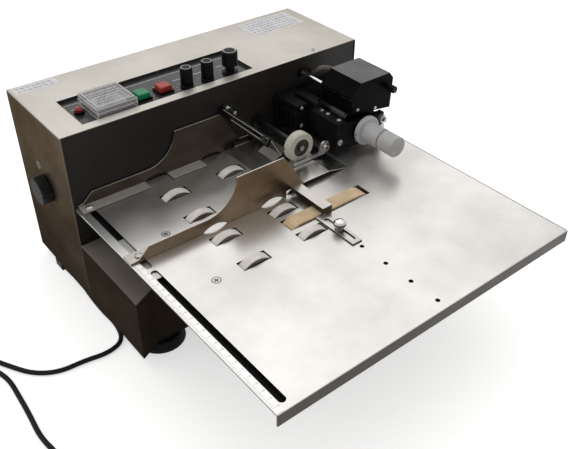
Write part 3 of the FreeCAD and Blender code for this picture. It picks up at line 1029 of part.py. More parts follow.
def coil():
    total = 2 * COIL_TURNS + 0.5
    steps = int(total * 4)
    places = [total * i / steps for i in range(steps + 1)]
    points = [coil_point(t) for t in places]
    ways = [(coil_point(t + 0.004) - coil_point(t - 0.004)).normalize() for t in places]
    ways[0] = V(0, -1, 0)
    lead_in = points[0] - ways[0] * CORD_D
    lead_out = points[-1] + ways[-1] * CORD_D
    edges = [Part.makeLine(lead_in, points[0])]
    for p0, t0, p1, t1 in zip(points, ways, points[1:], ways[1:]):
        edges += biarc(p0, t0, p1, t1)
    edges.append(Part.makeLine(points[-1], lead_out))
    wire = Part.Wire(edges)
    count = int(wire.Length)
    dots = wire.discretize(Number=count)
    skip = int(3 * CORD_D)
    least = min((dots[i] - dots[j]).Length for i in range(0, count, 2) for j in range(i + skip, count, 2))
    print("coil length", round(wire.Length, 1), "least gap between turns", round(least - CORD_D, 2))
    return wire, lead_in, lead_out, ways[-1]


def cord():
    x, y = CORD_POINTS[0]
    half, low, top = ELBOW_W / 2, FLOOR + CORD_LIFT, -CAB_DROP
    block = box(x - half, x + half, y + NOSE_L, y + NOSE_L + ELBOW_L, low, top)
    nose = Part.makeCone(NOSE_R0, NOSE_R1, NOSE_L, V(x, y, CORD_Z), V(0, 1, 0))
    nose = nose.common(box(x - half, x + half, y, y + NOSE_L, low, top))
    parts["cord_elbow"] = joined([block, nose])

    wire, lead_in, lead_out, way = coil()
    path, radii = rounded_path([V(px, py, CORD_Z) for px, py in CORD_POINTS] + [lead_in])
    solid = sweep(path, CORD_D / 2)
    area = pi * (CORD_D / 2) ** 2
    print("cord radii", [round(r) for r in radii], "length", round(path.Length, 1),
          "volume ratio", round(solid.Volume / (area * path.Length), 4))
    parts["power_cord"] = solid
    parts["cord_coil"] = sweep(wire, CORD_D / 2)
    parts["mains_plug"] = plug(lead_out, way)


def plug(end, way):
    """Moulded two-pin plug at the coil's end, thick enough to lie on the floor."""
    h = end.z - FLOOR - CORD_LIFT
    grip_r, body_r = CORD_D / 2 + 1, PLUG_W / 2
    body = turned("x", 0, 0, [(0.0, grip_r), (14.0, grip_r + 2), (17.0, body_r - 1), (PLUG_L - 2, body_r),
                              (PLUG_L, body_r - 1)])
    body = body.common(box(-1, PLUG_L + 1, -body_r, body_r, -h, h))
    pins = [rod("x", s * PLUG_PIN_GAP / 2, 0, PLUG_PIN_R, PLUG_L - 1, PLUG_L + PLUG_PIN_L) for s in (-1, 1)]
    solid = joined([body] + pins)
    solid.rotate(V(0, 0, 0), V(0, 0, 1), degrees(atan2(way.y, way.x)))
    solid.translate(end)
    return solid


def export():
    os.makedirs("parts", exist_ok=True)
    for name, shape in parts.items():
        moved = shape.copy()
        moved.translate(V(0, 0, 0) - ORIGIN)
        moved.exportStep(os.path.join("parts", name + ".step"))


def main():
    for make in (cabinet, control_panel, base, table, supports, bearings, feed, guides, thumb_screw, gate,
                 press_roller, print_head, head_frame, ink_head, screws, internals, panel_items, knobs, cord):
        make()
    for name, shape in parts.items():
        if not shape.isValid():
            print("invalid", name)
    export()
    print(len(parts), "pieces")


if __name__ == "__main__":
    main()
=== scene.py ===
"""Visual model of the date coding machine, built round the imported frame.

Places are given in the machine's frame, in millimetres: x runs to the right, y to the back and z up
from the cabinet's front left edge at the height of the table's top.
"""
from math import acos, cos, pi, radians, sin

import bmesh
import bpy
from mathutils import Matrix, Vector


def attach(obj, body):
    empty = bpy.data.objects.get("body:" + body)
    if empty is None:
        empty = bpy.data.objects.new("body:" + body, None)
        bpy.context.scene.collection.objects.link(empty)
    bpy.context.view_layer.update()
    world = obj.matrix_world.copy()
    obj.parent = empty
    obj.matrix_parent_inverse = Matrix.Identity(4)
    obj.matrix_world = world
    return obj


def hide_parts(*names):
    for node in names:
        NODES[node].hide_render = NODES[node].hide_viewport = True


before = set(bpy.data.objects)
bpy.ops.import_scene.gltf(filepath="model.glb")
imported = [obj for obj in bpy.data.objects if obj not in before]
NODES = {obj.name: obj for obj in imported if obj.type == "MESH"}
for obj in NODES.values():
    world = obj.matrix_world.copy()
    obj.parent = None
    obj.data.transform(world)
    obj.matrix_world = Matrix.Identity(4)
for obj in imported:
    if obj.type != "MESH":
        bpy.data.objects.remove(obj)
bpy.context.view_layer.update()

FLOOR = -144.0
CAB_TOP = 91.0
SCENE_ORIGIN = Vector((203.0, -112.5, FLOOR))
UP, FORWARD, LEFT = (0, 0, 1), (0, -1, 0), (-1, 0, 0)
AROUND = ((-1, -1), (1, -1), (1, 1), (-1, 1))


def at(x, y, z):
    """Place in the machine's frame as a place in the scene, in metres."""
    return (Vector((x, y, z)) - SCENE_ORIGIN) / 1000


# ---------------------------------------------------------------- materials

TONE_STOPS = (0.36, 0.66)
TOP_HEIGHT = (CAB_TOP - FLOOR) / 1000


def add_node(nodes, kind, **values):
    """New shader node with its input values set; an underscore stands for a space."""
    made = nodes.new("ShaderNode" + kind)
    for key, value in values.items():
        made.inputs[key.replace("_", " ")].default_value = value
    return made


def set_ramp(ramp, stops, colours):
    """Two stops of a colour ramp and their colours."""
    for element, position, colour in zip(ramp.color_ramp.elements, stops, colours):
        element.position = position
        element.color = (*colour, 1.0)


def tone_ramp(nodes, links, tone, low, high):
    """Colour ramp that follows a noise between two tones."""
    ramp = add_node(nodes, "ValToRGB")
    set_ramp(ramp, TONE_STOPS, (low, high))
    links.new(tone.outputs["Fac"], ramp.inputs["Fac"])
    return ramp


def surface(name, low, high, rough, metal=0.0, patch=9.0, grain=(60, 60, 60), spread=0.06, bump=0.0,
            depth=0.0002, smear=0.0, **sockets):
    """Finish whose colour wanders between two tones and whose roughness and relief follow a grain.

    The patch is the scale at which the colour wanders. The roughness strays by the spread to each side,
    and the smear is what a film in patches adds to it.
    """
    made = bpy.data.materials.new(name)
    made.use_nodes = True
    nodes, links = made.node_tree.nodes, made.node_tree.links
    shader = nodes["Principled BSDF"]
    place = add_node(nodes, "TexCoord")

    tone = add_node(nodes, "TexNoise", Scale=patch, Detail=5.0, Roughness=0.6)
    links.new(place.outputs["Object"], tone.inputs["Vector"])
    ramp = tone_ramp(nodes, links, tone, low, high)
    links.new(ramp.outputs["Color"], shader.inputs["Base Color"])

    stretch = add_node(nodes, "Mapping", Scale=grain)
    links.new(place.outputs["Object"], stretch.inputs["Vector"])
    lines = add_node(nodes, "TexNoise", Scale=10.0, Detail=3.0)
    links.new(stretch.outputs["Vector"], lines.inputs["Vector"])
    gloss = add_node(nodes, "MapRange", To_Min=rough - spread, To_Max=rough + spread)
    links.new(lines.outputs["Fac"], gloss.inputs["Value"])
    roughness = gloss.outputs["Result"]
    if smear:
        wipe = add_node(nodes, "TexNoise", Scale=patch * 0.8, Detail=2.5, Distortion=1.4)
        links.new(place.outputs["Object"], wipe.inputs["Vector"])
        film = add_node(nodes, "MapRange", From_Min=0.42, From_Max=0.62, To_Max=smear)
        links.new(wipe.outputs["Fac"], film.inputs["Value"])
        total = add_node(nodes, "Math")
        links.new(roughness, total.inputs[0])
        links.new(film.outputs["Result"], total.inputs[1])
        roughness = total.outputs["Value"]
    links.new(roughness, shader.inputs["Roughness"])
    if bump:
        relief = add_node(nodes, "Bump", Strength=bump, Distance=depth)
        links.new(lines.outputs["Fac"], relief.inputs["Height"])
        links.new(relief.outputs["Normal"], shader.inputs["Normal"])
    shader.inputs["Metallic"].default_value = metal
    for key, value in sockets.items():
        shader.inputs[key.replace("_", " ")].default_value = value
    return made


def painted_side_shade(made, low, high, metal=None, foot=1.0, crest=1.0, slope=(0.2, 0.8)):
    """Painted shade: upright faces take a darker tone than the top, and their own share of metal where
    it is given.

    The painted tone is scaled from foot at the floor to crest at the cabinet's top, a painted shade
    that darkens lower faces where foot is below crest.
    The slope gives the upward share of a face's direction below which it counts as upright, and above
    which it counts as level.
    """
    nodes, links = made.node_tree.nodes, made.node_tree.links
    shader = nodes["Principled BSDF"]
    top = shader.inputs["Base Color"].links[0].from_socket
    tone = next(node for node in nodes if node.type == "TEX_NOISE")
    # Tone of the painted shade on upright faces
    ramp = tone_ramp(nodes, links, tone, low, high)

    normal = add_node(nodes, "NewGeometry")
    split = add_node(nodes, "SeparateXYZ")
    links.new(normal.outputs["Normal"], split.inputs["Vector"])
    fade = add_node(nodes, "MapRange", From_Min=slope[0], From_Max=slope[1])
    links.new(split.outputs["Z"], fade.inputs["Value"])

    place = add_node(nodes, "TexCoord")
    spot = add_node(nodes, "SeparateXYZ")
    links.new(place.outputs["Object"], spot.inputs["Vector"])
    # Painted shade scaled by height above the floor
    climb = add_node(nodes, "MapRange", From_Max=TOP_HEIGHT, To_Min=foot, To_Max=crest)
    links.new(spot.outputs["Z"], climb.inputs["Value"])
    scaled = add_node(nodes, "VectorMath")
    scaled.operation = "SCALE"
    links.new(ramp.outputs["Color"], scaled.inputs["Vector"])
    links.new(climb.outputs["Result"], scaled.inputs["Scale"])

    mix = add_node(nodes, "Mix")
    mix.data_type = "RGBA"
    links.new(fade.outputs["Result"], mix.inputs["Factor"])
    links.new(scaled.outputs["Vector"], mix.inputs["A"])
    links.new(top, mix.inputs["B"])
    links.new(mix.outputs["Result"], shader.inputs["Base Color"])
    if metal is not None:
        level_metal = shader.inputs["Metallic"].default_value
        share = add_node(nodes, "MapRange", To_Min=metal, To_Max=level_metal)
        links.new(fade.outputs["Result"], share.inputs["Value"])
        links.new(share.outputs["Result"], shader.inputs["Metallic"])
    return made


LINES_X = (3, 160, 160)
TURNED = (20, 400, 20)
FINE = (150, 150, 150)
BRAID = (900, 900, 900)
DULL_EDGE = (0.25, 0.24, 0.22, 1.0)

# Painted shade: the upright faces of the table, platen, cabinet cover, base, guides, arm and slider
# take the darker second pair of tones.
table_steel = painted_side_shade(
    surface("table_steel", (0.695, 0.675, 0.65), (0.875, 0.86, 0.84), 0.295, 0.93,
            patch=9.0, grain=LINES_X, spread=0.015, smear=0.09),
    (0.034, 0.029, 0.024), (0.057, 0.049, 0.041), slope=(0.3, 0.9))
platen_steel = painted_side_shade(
    surface("platen_steel", (0.58, 0.56, 0.54), (0.74, 0.72, 0.70), 0.22, 1.0,
            patch=14.0, grain=LINES_X, spread=0.020, smear=0.03),
    (0.010, 0.009, 0.008), (0.022, 0.020, 0.018), slope=(0.0, 0.3))
# The cabinet cover's painted side shade is also darker towards the floor and lighter towards its top.
cover_steel = painted_side_shade(
    surface("cover_steel", (0.68, 0.65, 0.605), (0.82, 0.795, 0.75), 0.42, 1.0,
            patch=7.0, grain=LINES_X, spread=0.06, bump=0.05, smear=0.10, Specular_Tint=DULL_EDGE),
    (0.086, 0.071, 0.058), (0.136, 0.113, 0.094), foot=0.6, crest=1.5)
base_steel = painted_side_shade(
    surface("base_steel", (0.29, 0.255, 0.215), (0.39, 0.35, 0.30), 0.45, 0.4,
            grain=LINES_X, bump=0.05, Specular_IOR_Level=0.0),
    (0.030, 0.0225, 0.0167), (0.053, 0.040, 0.030), metal=0.0)
guide_steel = painted_side_shade(
    surface("guide_steel", (0.60, 0.57, 0.53), (0.72, 0.69, 0.65), 0.31, 0.55,
            patch=20.0, grain=LINES_X, spread=0.03, bump=0.05),
    (0.185, 0.137, 0.095), (0.300, 0.225, 0.158), metal=1.0)
rear_guide_steel = painted_side_shade(
    surface("rear_guide_steel", (0.60, 0.57, 0.53), (0.72, 0.69, 0.65), 0.34, 0.55,
            patch=14.0, grain=LINES_X, bump=0.05),
    (0.075, 0.060, 0.049), (0.135, 0.110, 0.090), metal=1.0)
arm_steel = painted_side_shade(
    surface("arm_steel", (0.60, 0.575, 0.54), (0.70, 0.675, 0.64), 0.33, 1.0,
            patch=30.0, spread=0.04, bump=0.05),
    (0.045, 0.034, 0.026), (0.080, 0.062, 0.048))
gate_steel = surface("gate_steel", (0.055, 0.051, 0.047), (0.105, 0.098, 0.090), 0.20, 1.0,
                     patch=30.0, bump=0.05)
slider_steel = painted_side_shade(
    surface("slider_steel", (0.56, 0.545, 0.525), (0.70, 0.685, 0.665), 0.36, 1.0,
            patch=30.0, bump=0.05),
    (0.020, 0.018, 0.016), (0.035, 0.032, 0.029))
# Painted light and shade by direction: the supports' level faces are near black as painted shade under
# the table, their upright faces a lighter metal tone.
support_steel = painted_side_shade(
    surface("support_steel", (0.006, 0.006, 0.006), (0.012, 0.012, 0.012), 0.60,
            bump=0.05, Specular_IOR_Level=0.1),
    (0.16, 0.15, 0.14), (0.24, 0.225, 0.21), metal=1.0)
bright_steel = surface("bright_steel", (0.44, 0.43, 0.42), (0.58, 0.57, 0.56), 0.20, 1.0,
                       patch=60.0, bump=0.04)
turned_steel = surface("turned_steel", (0.46, 0.45, 0.44), (0.58, 0.57, 0.56), 0.34, 1.0,
                       patch=50.0, grain=TURNED, bump=0.06)
dark_steel = surface("dark_steel", (0.055, 0.052, 0.05), (0.10, 0.095, 0.09), 0.34, 1.0,
                     patch=50.0, grain=TURNED, bump=0.06)
screw_steel = surface("screw_steel", (0.50, 0.49, 0.48), (0.64, 0.63, 0.62), 0.22, 0.8,
                      patch=60.0, spread=0.04)
chrome = surface("chrome", (0.74, 0.74, 0.74), (0.82, 0.82, 0.82), 0.12, 1.0,
                 patch=60.0, spread=0.03)
# Painted shade: the thumb screw's downward and upright faces are darker than its top.
ball_chrome = painted_side_shade(
    surface("ball_chrome", (0.74, 0.74, 0.74), (0.84, 0.84, 0.84), 0.12, 1.0,
            patch=60.0, spread=0.03),
    (0.09, 0.088, 0.086), (0.14, 0.137, 0.134), slope=(-0.1, 0.5))
scale_tin = surface("scale_tin", (0.90, 0.895, 0.885), (0.97, 0.965, 0.955), 0.36, 1.0,
                    patch=30.0, bump=0.1)

black_plate = surface("black_plate", (0.018, 0.0165, 0.015), (0.030, 0.0275, 0.025), 0.42,
                      patch=6.0, grain=FINE, bump=0.10, Specular_IOR_Level=0.22)
panel_paint = surface("panel_paint", (0.030, 0.030, 0.032), (0.050, 0.050, 0.053), 0.20,
                      patch=40.0, grain=FINE, spread=0.05, bump=0.10)
cast_black = surface("cast_black", (0.004, 0.004, 0.0045), (0.010, 0.010, 0.011), 0.48,
                     patch=40.0, grain=FINE, bump=0.30, depth=0.0004, Specular_IOR_Level=0.12)
# Painted shade: the ink cover's upright faces are near black beside its lighter top.
cover_black = painted_side_shade(
    surface("cover_black", (0.145, 0.145, 0.153), (0.205, 0.205, 0.217), 0.40,
            patch=25.0, grain=FINE, bump=0.08, Specular_IOR_Level=0.03),
    (0.0025, 0.0025, 0.003), (0.005, 0.005, 0.006), slope=(0.75, 0.95))
moulded_black = surface("moulded_black", (0.0035, 0.0035, 0.0040), (0.0080, 0.0080, 0.0092), 0.36,
                        patch=60.0, grain=FINE, bump=0.12, Specular_IOR_Level=0.14)
soft_black = surface("soft_black", (0.006, 0.006, 0.006), (0.014, 0.0135, 0.013), 0.60,
                     patch=60.0, bump=0.15, Specular_IOR_Level=0.2)

# Painted shade: the feed wheels' upright faces take darker tones than their tops.
wheel_white = painted_side_shade(
    surface("wheel_white", (0.74, 0.71, 0.66), (0.90, 0.87, 0.82), 0.60, patch=90.0, bump=0.12),
    (0.150, 0.125, 0.100), (0.230, 0.195, 0.160), slope=(0.15, 0.5))
roller_white = surface("roller_white", (0.56, 0.56, 0.46), (0.68, 0.68, 0.58), 0.50,
                       patch=60.0, bump=0.08)
knob_white = surface("knob_white", (0.47, 0.47, 0.475), (0.57, 0.57, 0.575), 0.45,
                     patch=60.0, bump=0.06)
belt_tan = surface("belt_tan", (0.64, 0.475, 0.285), (0.80, 0.615, 0.40), 0.62,
                   patch=70.0, grain=FINE, bump=0.25)
lamp_red = surface("lamp_red", (0.28, 0.010, 0.010), (0.38, 0.018, 0.016), 0.18,
                   patch=80.0, Coat_Weight=0.5)
cap_green = surface("cap_green", (0.008, 0.22, 0.085), (0.015, 0.32, 0.13), 0.30,
                    patch=90.0, bump=0.05)
cap_red = surface("cap_red", (0.35, 0.028, 0.017), (0.47, 0.046, 0.028), 0.30,
                  patch=90.0, bump=0.05)
clear_cover = surface("clear_cover", (0.56, 0.55, 0.57), (0.68, 0.67, 0.69), 0.08,
                      patch=40.0, Alpha=0.24, IOR=1.46)
# Paler, more opaque clear plastic for painted highlights on the lid's edges, and for its moulded bars
clear_highlight_and_moulding = surface("clear_highlight_and_moulding", (0.80, 0.79, 0.81), (0.93, 0.92, 0.94), 0.12,
                    patch=40.0, Alpha=0.72, IOR=1.46)
lead_brown = surface("lead_brown", (0.075, 0.055, 0.035), (0.14, 0.105, 0.065), 0.60,
                     patch=120.0, bump=0.2)
sleeve_grey = surface("sleeve_grey", (0.10, 0.09, 0.08), (0.19, 0.175, 0.16), 0.70,
                      patch=260.0, grain=BRAID, bump=0.5, depth=0.0005)
board_green = surface("board_green", (0.015, 0.10, 0.04), (0.03, 0.17, 0.07), 0.35, patch=60.0)

face_dark = surface("face_dark", (0.05, 0.048, 0.045), (0.08, 0.077, 0.072), 0.40,
                    patch=60.0, bump=0.05)
face_pale = surface("face_pale", (0.48, 0.47, 0.49), (0.62, 0.61, 0.63), 0.45,
                    patch=90.0, bump=0.05)
line_white = surface("line_white", (0.62, 0.63, 0.64), (0.74, 0.75, 0.76), 0.5, patch=90.0)
# Pale grey for strips that paint highlights on the gate's bar and blade
highlight_pale = surface("highlight_pale", (0.42, 0.41, 0.40), (0.58, 0.57, 0.56), 0.4, patch=30.0)
cap_grey = surface("cap_grey", (0.26, 0.26, 0.27), (0.36, 0.36, 0.37), 0.40, patch=90.0)
tick_grey = surface("tick_grey", (0.30, 0.30, 0.30), (0.42, 0.42, 0.42), 0.5, patch=60.0)
# Near black for printed ticks, and for dark sheets that paint shade in the well, the table's openings
# and its holes
dark_print_and_shade = surface("dark_print_and_shade", (0.020, 0.020, 0.020), (0.045, 0.045, 0.045), 0.5, patch=60.0)
label_pale = surface("label_pale", (0.66, 0.66, 0.69), (0.80, 0.80, 0.83), 0.50, patch=120.0)
label_grey = surface("label_grey", (0.34, 0.34, 0.37), (0.48, 0.48, 0.51), 0.50, patch=120.0)
floor_paint = surface("floor_paint", (0.86, 0.86, 0.86), (0.90, 0.90, 0.90), 0.8, patch=2.0)

FINISH = {
    table_steel: ("table_plate",),
    platen_steel: ("platen",),
    cover_steel: ("cabinet_cover", "rear_cover"),
    base_steel: ("base_box", "bottom_plate"),
    guide_steel: ("front_guide",),
    rear_guide_steel: ("rear_guide",),
    support_steel: ("table_supports",),
    arm_steel: ("guide_arm",),
    gate_steel: ("gate_blade",),
    slider_steel: ("guide_slider",),
    bright_steel: ("press_strip",),
    turned_steel: ("feed_shaft_left", "feed_shaft_right", "delivery_shaft", "impression_roller",
                   "motor_pulley"),
    dark_steel: ("shaft_bearings", "press_shaft", "print_shaft", "ink_carrier", "type_drum",
                 "gate_bar", "gate_clamp"),
    chrome: ("hinge_rod",),
    ball_chrome: ("thumb_screw",),
    screw_steel: ("machine_screws",),
    scale_tin: ("ruler_strip",),
    black_plate: ("front_plate",),
    panel_paint: ("control_panel",),
    cast_black: ("head_frame", "drive_motor"),
    cover_black: ("ink_cover",),
    moulded_black: ("panel_switches", "speed_knob", "heat_knob", "count_knob", "cover_knob",
                    "mains_plug"),
    soft_black: ("rubber_feet", "drive_belt", "cord_elbow", "ink_roller", "side_knob"),
    wheel_white: ("feed_wheels_left", "feed_wheels_right", "delivery_roller"),
    roller_white: ("press_roller",),
    knob_white: ("hand_knob",),
    belt_tan: ("transport_belt",),
    lamp_red: ("power_lamp",),
    cap_green: ("green_button",),
    cap_red: ("red_button",),
    clear_cover: ("controller_cover",),
    face_dark: ("temp_controller",),
    lead_brown: ("heater_lead",),
    board_green: ("control_board",),
}

# Width of the rounded edges, in metres
ROUNDED = {
    "cabinet_cover": 0.0005, "base_box": 0.0008, "front_plate": 0.0003, "side_knob": 0.0005,
    "head_frame": 0.0006, "ink_cover": 0.0006, "platen": 0.0006, "press_strip": 0.0003,
    "front_guide": 0.0003, "rear_guide": 0.0003, "guide_arm": 0.0003, "guide_slider": 0.0002,
    "gate_bar": 0.0004, "gate_blade": 0.0002, "gate_clamp": 0.0003,
    "red_button": 0.0005, "green_button": 0.0005, "temp_controller": 0.0004,
    "controller_cover": 0.0004,
}


def dress():
    """Give every solid its finish, and round the edges of those that show it."""
    for finish, names in FINISH.items():
        for name in names:
            node = NODES[name]
            node.data.materials.clear()
            node.data.materials.append(finish)
            if name in ROUNDED:
                weld = node.modifiers.new("weld", "WELD")
                weld.merge_threshold = 0.00001
                edge = node.modifiers.new("edge", "BEVEL")
                edge.width = ROUNDED[name]
                edge.segments = 2
                edge.limit_method = "ANGLE"
                edge.angle_limit = radians(40)
                edge.harden_normals = True


# ---------------------------------------------------------------- forms

BOX_FACES = ((3, 2, 1, 0), (4, 5, 6, 7), (0, 1, 5, 4), (1, 2, 6, 5), (2, 3, 7, 6), (3, 0, 4, 7))


def link(name, data):
    """New object in the scene."""
    made = bpy.data.objects.new(name, data)
    bpy.context.scene.collection.objects.link(made)
    return made


def mesh_object(name, bm, finish):
    """New object from a finished bmesh."""
    mesh = bpy.data.meshes.new(name)
    bm.to_mesh(mesh)
    bm.free()
    mesh.materials.append(finish)
    return link(name, mesh)


def piece(name, bm, finish, body="machine"):
    """New piece of the machine that moves with one of its bodies."""
    made = mesh_object(name, bm, finish)
    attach(made, body)


def round_line(name, places, radius, finish, rim_steps, steps):
    """Round line with flat ends from the first place to the last, bent towards the others."""
    line = bpy.data.curves.new(name, "CURVE")
    line.dimensions = "3D"
    line.bevel_depth = radius / 1000
    line.bevel_resolution = rim_steps
    line.resolution_u = steps
    line.use_fill_caps = True
    path = line.splines.new("NURBS")
    path.points.add(len(places) - 1)
    for point, place in zip(path.points, places):
        point.co = (*at(*place), 1.0)
    path.order_u = 3
    path.use_endpoint_u = True
    line.materials.append(finish)
    return link(name, line)


def add_box(bm, places):
    """Box from eight places: four round its foot, then the four above them."""
    corners = [bm.verts.new(at(*place)) for place in places]
    for face in BOX_FACES:
        bm.faces.new([corners[i] for i in face])


def add_block(bm, x0, x1, y0, y1, z0, z1):
    """Box along the three axes."""
    add_box(bm, [(x, y, z) for z in (z0, z1) for x, y in ((x0, y0), (x1, y0), (x1, y1), (x0, y1))])


def frame_bars(bm, x0, x1, y0, y1, z0, z1, wide):
    """Four bars round a level rectangle and inside it."""
    add_block(bm, x0, x1, y0, y0 + wide, z0, z1)
    add_block(bm, x0, x1, y1 - wide, y1, z0, z1)
    add_block(bm, x0, x0 + wide, y0 + wide, y1 - wide, z0, z1)
    add_block(bm, x1 - wide, x1, y0 + wide, y1 - wide, z0, z1)


def add_tilted(bm, centre, turn, length, width, z0, z1):
    """Small level bar, its length turned by an angle about the upright through its centre."""
    ux, uy = cos(turn), sin(turn)
    foot = [(centre[0] + a * length / 2 * ux - b * width / 2 * uy,
             centre[1] + a * length / 2 * uy + b * width / 2 * ux) for a, b in AROUND]
    add_box(bm, [(x, y, z) for z in (z0, z1) for x, y in foot])


def add_rings(bm, centre, axis, profile, steps):
    """Rings of corners round an axis, one for each (distance along the axis, radius) of the profile."""
    axis = Vector(axis).normalized()
    side = axis.orthogonal().normalized()
    other = axis.cross(side)
    turns = [2 * pi * i / steps for i in range(steps)]
    return [[bm.verts.new(at(*(Vector(centre) + axis * along + (side * cos(a) + other * sin(a)) * r)))
             for a in turns] for along, r in profile]


def join_rings(bm, low, high):
    """Band of faces between two rings."""
    for i in range(len(low)):
        j = (i + 1) % len(low)
        bm.faces.new((low[i], low[j], high[j], high[i]))


def add_turned(bm, centre, axis, profile, steps=24):
    """Turned form about an axis, closed at both ends of its profile."""
    rings = add_rings(bm, centre, axis, profile, steps)
    for low, high in zip(rings, rings[1:]):
        join_rings(bm, low, high)
    bm.faces.new(list(reversed(rings[0])))
    bm.faces.new(rings[-1])


def add_ring(bm, centre, axis, outer, inner, height, steps=32):
    """Flat ring that stands on a face; the axis points away from that face."""
    profile = ((0, outer), (height, outer), (height, inner), (0, inner))
    rings = add_rings(bm, centre, axis, profile, steps)
    for low, high in zip(rings, rings[1:] + rings[:1]):
        join_rings(bm, low, high)


def add_beam(bm, start, end):
    """Beam between two four-cornered ends."""
    first, last = [[bm.verts.new(at(*place)) for place in ring] for ring in (start, end)]
    faces = [bm.faces.new(first), bm.faces.new(last)]
    for i in range(4):
        j = (i + 1) % 4
        faces.append(bm.faces.new((first[i], first[j], last[j], last[i])))
    bmesh.ops.recalc_face_normals(bm, faces=faces)


# ---------------------------------------------------------------- control panel

# Level rectangles are (x0, x1, y0, y1) and layers are (z0, z1)
PANEL_Z = 87.0
PANEL_PRINT = (PANEL_Z, PANEL_Z + 0.12)
WELL = (33.0, 260.0, 11.5, 77.5)
WELL_WALLS = (PANEL_Z + 0.02, CAB_TOP - 0.25)
# Thickness of the dark sheet that paints the dark panel's reflection on the well's walls
WELL_SHADE_THICK = 0.2
PANEL_LINE = (36.0, 257.0, 66.6, 67.3)
LABEL_ROW = (47.6, 48.6)
LAMP_LABEL = (40.0, 49.0, 54.6, 55.6)
BUTTONS_X, BUTTON_LABEL_HALF = (116.5, 145.5), 5.0

# Each knob's body, its place from the left, its radius and its height
KNOBS = (("speed", 173.5, 7.4, 25.0), ("heat", 202.5, 7.4, 25.0), ("count", 235.5, 9.7, 29.0))
KNOB_Y, KNOB_LABEL_HALF = 25.0, 6.0
KNOB_TICKS, FIRST_TICK, TICK_TURN, TICK_WIDE = 11, -60, 30, 0.6
LONG_TICK, SHORT_TICK = (5.4, 2.6), (4.8, 1.6)
RIM_OUTER, RIM_INNER, RIM_HEIGHT, RIM_STEPS = 0.84, 0.66, 0.2, 48

CONTROLLER_Z = PANEL_Z + 4.0
CONTROLLER_PLATE = (57.5, 97.5, 30.5, 59.0)
CONTROLLER_PRINT = (CONTROLLER_Z + 0.25, CONTROLLER_Z + 0.35)
CONTROLLER_BARS = ((59.5, 66.0), (89.0, 95.5))
BAR_ROWS, BAR_ROW, BAR_PITCH = 5, (55.0, 56.0), 5.2
DIAL, DIAL_R, DIAL_TICKS, DIAL_TURN = (77.5, 44.0), 11.8, 13, 25
POINTER, POINTER_LAYER = (80.7, 47.2), (CONTROLLER_Z + 3.0, CONTROLLER_Z + 3.3)

LID_BOX = (53.0, 102.0, 14.5, 63.5)
LID_TOP = PANEL_Z + 15.0
LID_ROOF = (LID_TOP - 0.1, LID_TOP + 0.15)
LID_HIGH_RIM = (LID_TOP - 2.6, LID_TOP - 2.0)
LID_LOW_RIM = (LID_TOP - 7.6, LID_TOP - 7.0)
LID_FOOT_RIM = (PANEL_Z + 0.6, PANEL_Z + 1.2)
LID_MOULDING = (LID_TOP - 2.0, LID_TOP - 1.75)
ROOF_RIM_WIDE, SIDE_RIM_WIDE, CORNER_WIDE = 0.9, 0.5, 0.6


def panel_marks():
    """White line along the panel, ticks round the knobs, and a short line for each label."""
    bm = bmesh.new()
    add_block(bm, *PANEL_LINE, *PANEL_PRINT)
    for _, x, r, _ in KNOBS:
        for i in range(KNOB_TICKS):
            a = radians(FIRST_TICK + TICK_TURN * i)
            gap, length = LONG_TICK if i % 5 == 0 else SHORT_TICK
            centre = (x + cos(a) * (r + gap), KNOB_Y + sin(a) * (r + gap))
            add_tilted(bm, centre, a, length, TICK_WIDE, *PANEL_PRINT)
        add_block(bm, x - KNOB_LABEL_HALF, x + KNOB_LABEL_HALF, *LABEL_ROW, *PANEL_PRINT)
    for x in BUTTONS_X:
        add_block(bm, x - BUTTON_LABEL_HALF, x + BUTTON_LABEL_HALF, *LABEL_ROW, *PANEL_PRINT)
    add_block(bm, *LAMP_LABEL, *PANEL_PRINT)
    piece("panel_lines", bm, line_white)


def well_shade_sheet():
    """Dark sheet on the well's upright walls, a painted reflection of the dark panel in them."""
    bm = bmesh.new()
    frame_bars(bm, *WELL, *WELL_WALLS, WELL_SHADE_THICK)
    piece("well_shade_sheet", bm, dark_print_and_shade)


def knob_caps():
    """Grey rims on the knobs' ends."""
    for name, x, r, high in KNOBS:
        bm = bmesh.new()
        end = (x, KNOB_Y, PANEL_Z + high - 0.02)
        add_ring(bm, end, UP, r * RIM_OUTER, r * RIM_INNER, RIM_HEIGHT, RIM_STEPS)
        piece(name + "_rim", bm, cap_grey, name)


def controller_face():
    """Pale printed face on the controller, bars and ticks beside its dial, and the dial's pointer."""
    bm = bmesh.new()
    add_block(bm, *CONTROLLER_PLATE, CONTROLLER_Z, CONTROLLER_PRINT[0])
    piece("controller_plate", bm, face_pale)
    bm = bmesh.new()
    for i in range(BAR_ROWS):
        for x0, x1 in CONTROLLER_BARS:
            y0, y1 = (y - BAR_PITCH * i for y in BAR_ROW)
            add_block(bm, x0, x1, y0, y1, *CONTROLLER_PRINT)
    for i in range(DIAL_TICKS):
        a = radians(FIRST_TICK + DIAL_TURN * i)
        centre = (DIAL[0] + cos(a) * DIAL_R, DIAL[1] + sin(a) * DIAL_R)
        add_tilted(bm, centre, a, 1.6, 0.5, *CONTROLLER_PRINT)
    piece("controller_marks", bm, dark_print_and_shade)
    bm = bmesh.new()
    add_tilted(bm, POINTER, radians(45), 9.0, 1.4, *POINTER_LAYER)
    piece("dial_pointer", bm, line_white)


